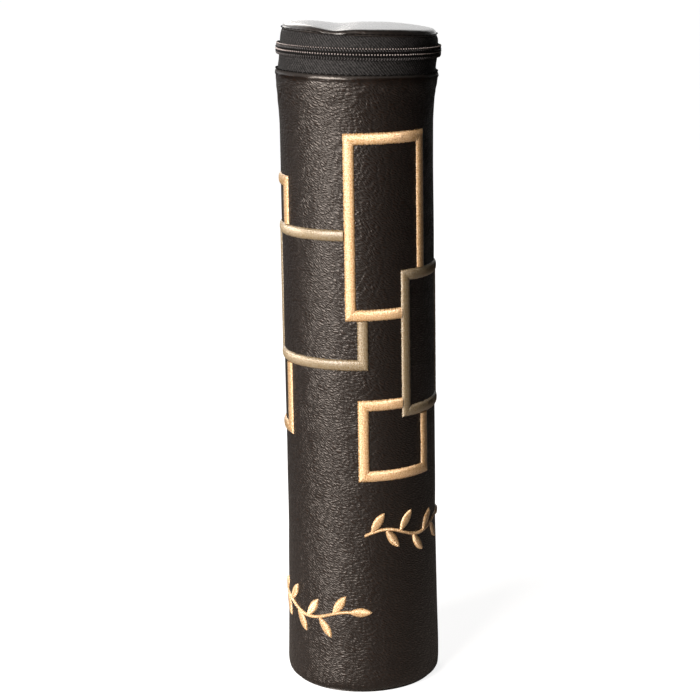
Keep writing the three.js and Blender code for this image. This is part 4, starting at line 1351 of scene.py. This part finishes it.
class STAGE_OT_build(CaseOperator, bpy.types.Operator):
    """Build the floor, the lamps, the world and the camera."""

    bl_idname = "scroll_case.stage"
    bl_label = "Stage"

    # The photo's camera: its place in metres, its tilt and roll in degrees and its sensor in mm
    camera_place = (-0.004878, -0.94996, 0.38662)
    camera_tilt = 77.196
    camera_roll = -0.8906
    camera_sensor = 36

    def execute(self, context):
        settings = self.settings(context).stage
        scene = context.scene
        bm = bmesh.new()
        bmesh.ops.create_grid(bm, x_segments=1, y_segments=1, size=12)
        floor = piece("floor", bm, self.floor_paint(), smooth_angle=0)
        self.world(scene, settings)
        self.lamp("main_lamp", (-0.78, -1.0, 0.60), target=(0, 0, 0.15), size=0.82, power=settings.key)
        self.lamp("rear_lamp", (-0.35, 1.25, 0.9), target=(0, 0, 0.2), size=0.6, power=settings.rear)
        scene.camera = self.camera(settings)
        scene.view_settings.view_transform = "Standard"
        return {"FINISHED"}

    def camera(self, settings):
        camera = bpy.data.cameras.new("camera")
        camera.lens = settings.lens
        camera.sensor_width = self.camera_sensor
        camera.clip_start = 0.01
        holder = self.put("camera", camera, self.camera_place)
        tilt = Matrix.Rotation(math.radians(self.camera_tilt), 4, "X")
        roll = Matrix.Rotation(math.radians(self.camera_roll), 4, "Z")
        holder.rotation_euler = (tilt @ roll).to_euler()
        return holder

    def put(self, name, data, place):
        obj = bpy.data.objects.new(name, data)
        bpy.context.scene.collection.objects.link(obj)
        obj.location = place
        return obj

    def floor_paint(self):
        """Pale to the camera, and to other rays a floor that darkens away from the case."""
        shade = Shade("floor_paint")
        shade.done(Base_Color=(0.42, 0.42, 0.42), Roughness=0.7, Specular_IOR_Level=0.2)
        near = shade.node("BsdfDiffuse", inputs={"Color": (0.38, 0.35, 0.33)})
        far = shade.node("BsdfDiffuse", inputs={"Color": (0.05, 0.05, 0.05)})
        reach = shade.node("VectorMath", {"operation": "LENGTH"}, {0: shade.place()}, output="Value")
        fade = shade.ramp(reach, 0.15, 0.6)
        pale = shade.mix(fade, (0.86, 0.86, 0.86), (0.96, 0.96, 0.96))
        glow = shade.node("Emission", inputs={"Color": pale, "Strength": 1.0})
        shown = shade.node("AddShader", inputs={0: Signal(shade, shade.surface.outputs[0]), 1: glow})
        dim = shade.node("MixShader", inputs={0: fade, 1: near, 2: far})
        ray = shade.node("LightPath", output="Is Camera Ray")
        paint = shade.node("MixShader", inputs={0: ray, 1: dim, 2: shown})
        end = shade.tree.nodes["Material Output"]
        shade.tree.links.new(paint.socket, end.inputs["Surface"])
        return shade.material

    def world(self, scene, settings):
        """White to the camera; a backdrop behind the case and a dim room to other rays."""
        shade = Shade("studio", "worlds", "Background")
        scene.world = shade.material
        camera = shade.node("LightPath", output="Is Camera Ray")
        rays = camera.socket.node.outputs
        mirror = Signal(shade, rays["Is Glossy Ray"]).most(Signal(shade, rays["Is Transmission Ray"]))
        where = shade.node("TexCoord", output="Generated")
        behind = shade.node(
            "VectorMath", {"operation": "DOT_PRODUCT"}, {0: where, 1: (-0.5, 0.866, 0)}, output="Value")
        backdrop = shade.ramp(behind, 0.28, 0.75, kind="SMOOTHSTEP")
        shown = backdrop * (1 - settings.front) + settings.front
        strength = camera.most(shown * mirror).most(shown * settings.world)
        shade.done(Color=(1, 1, 1), Strength=strength)

    def lamp(self, name, place, target, size, power):
        data = bpy.data.lights.new(name, "AREA")
        data.shape = "SQUARE"
        data.size = size
        data.energy = power
        data.color = (1.0, 0.94, 0.88)
        obj = self.put(name, data, place)
        obj.rotation_euler = (Vector(target) - Vector(place)).to_track_quat("-Z", "Y").to_euler()


OPERATORS = (
    SLEEVE_OT_build, INSIDE_OT_build, TAPE_OT_build, CHAIN_OT_build, LID_OT_build, TAB_OT_build,
    SLIDER_OT_build, FRAMES_OT_build, SPRIGS_OT_build, STAGE_OT_build)


class CASE_PT_panel(bpy.types.Panel):
    """Shows the case's settings, group by group, and a button for each build step."""

    bl_idname = "CASE_PT_panel"
    bl_label = "Scroll case"
    bl_space_type = "VIEW_3D"
    bl_region_type = "UI"
    bl_category = "Scroll case"

    def draw(self, context):
        settings = context.scene.scroll_case
        for group in ("sleeve", "zip", "lid", "thread", "stage"):
            box = self.layout.box()
            box.label(text=group.capitalize())
            values = getattr(settings, group)
            for name in values.bl_rna.properties.keys():
                if name not in ("rna_type", "name"):
                    box.prop(values, name)
        for operator in OPERATORS:
            self.layout.operator(operator.bl_idname)


CLASSES = (
    SleeveSettings, ZipSettings, LidSettings, ThreadSettings, StageSettings, CaseSettings,
    *OPERATORS, CASE_PT_panel)


def register():
    for item in CLASSES:
        bpy.utils.register_class(item)
    bpy.types.Scene.scroll_case = PointerProperty(type=CaseSettings)


def unregister():
    del bpy.types.Scene.scroll_case
    for item in reversed(CLASSES):
        bpy.utils.unregister_class(item)


def main():
    register()
    for operator in OPERATORS:
        group, name = operator.bl_idname.split(".")
        getattr(getattr(bpy.ops, group), name)()


if __name__ == "__main__":
    main()
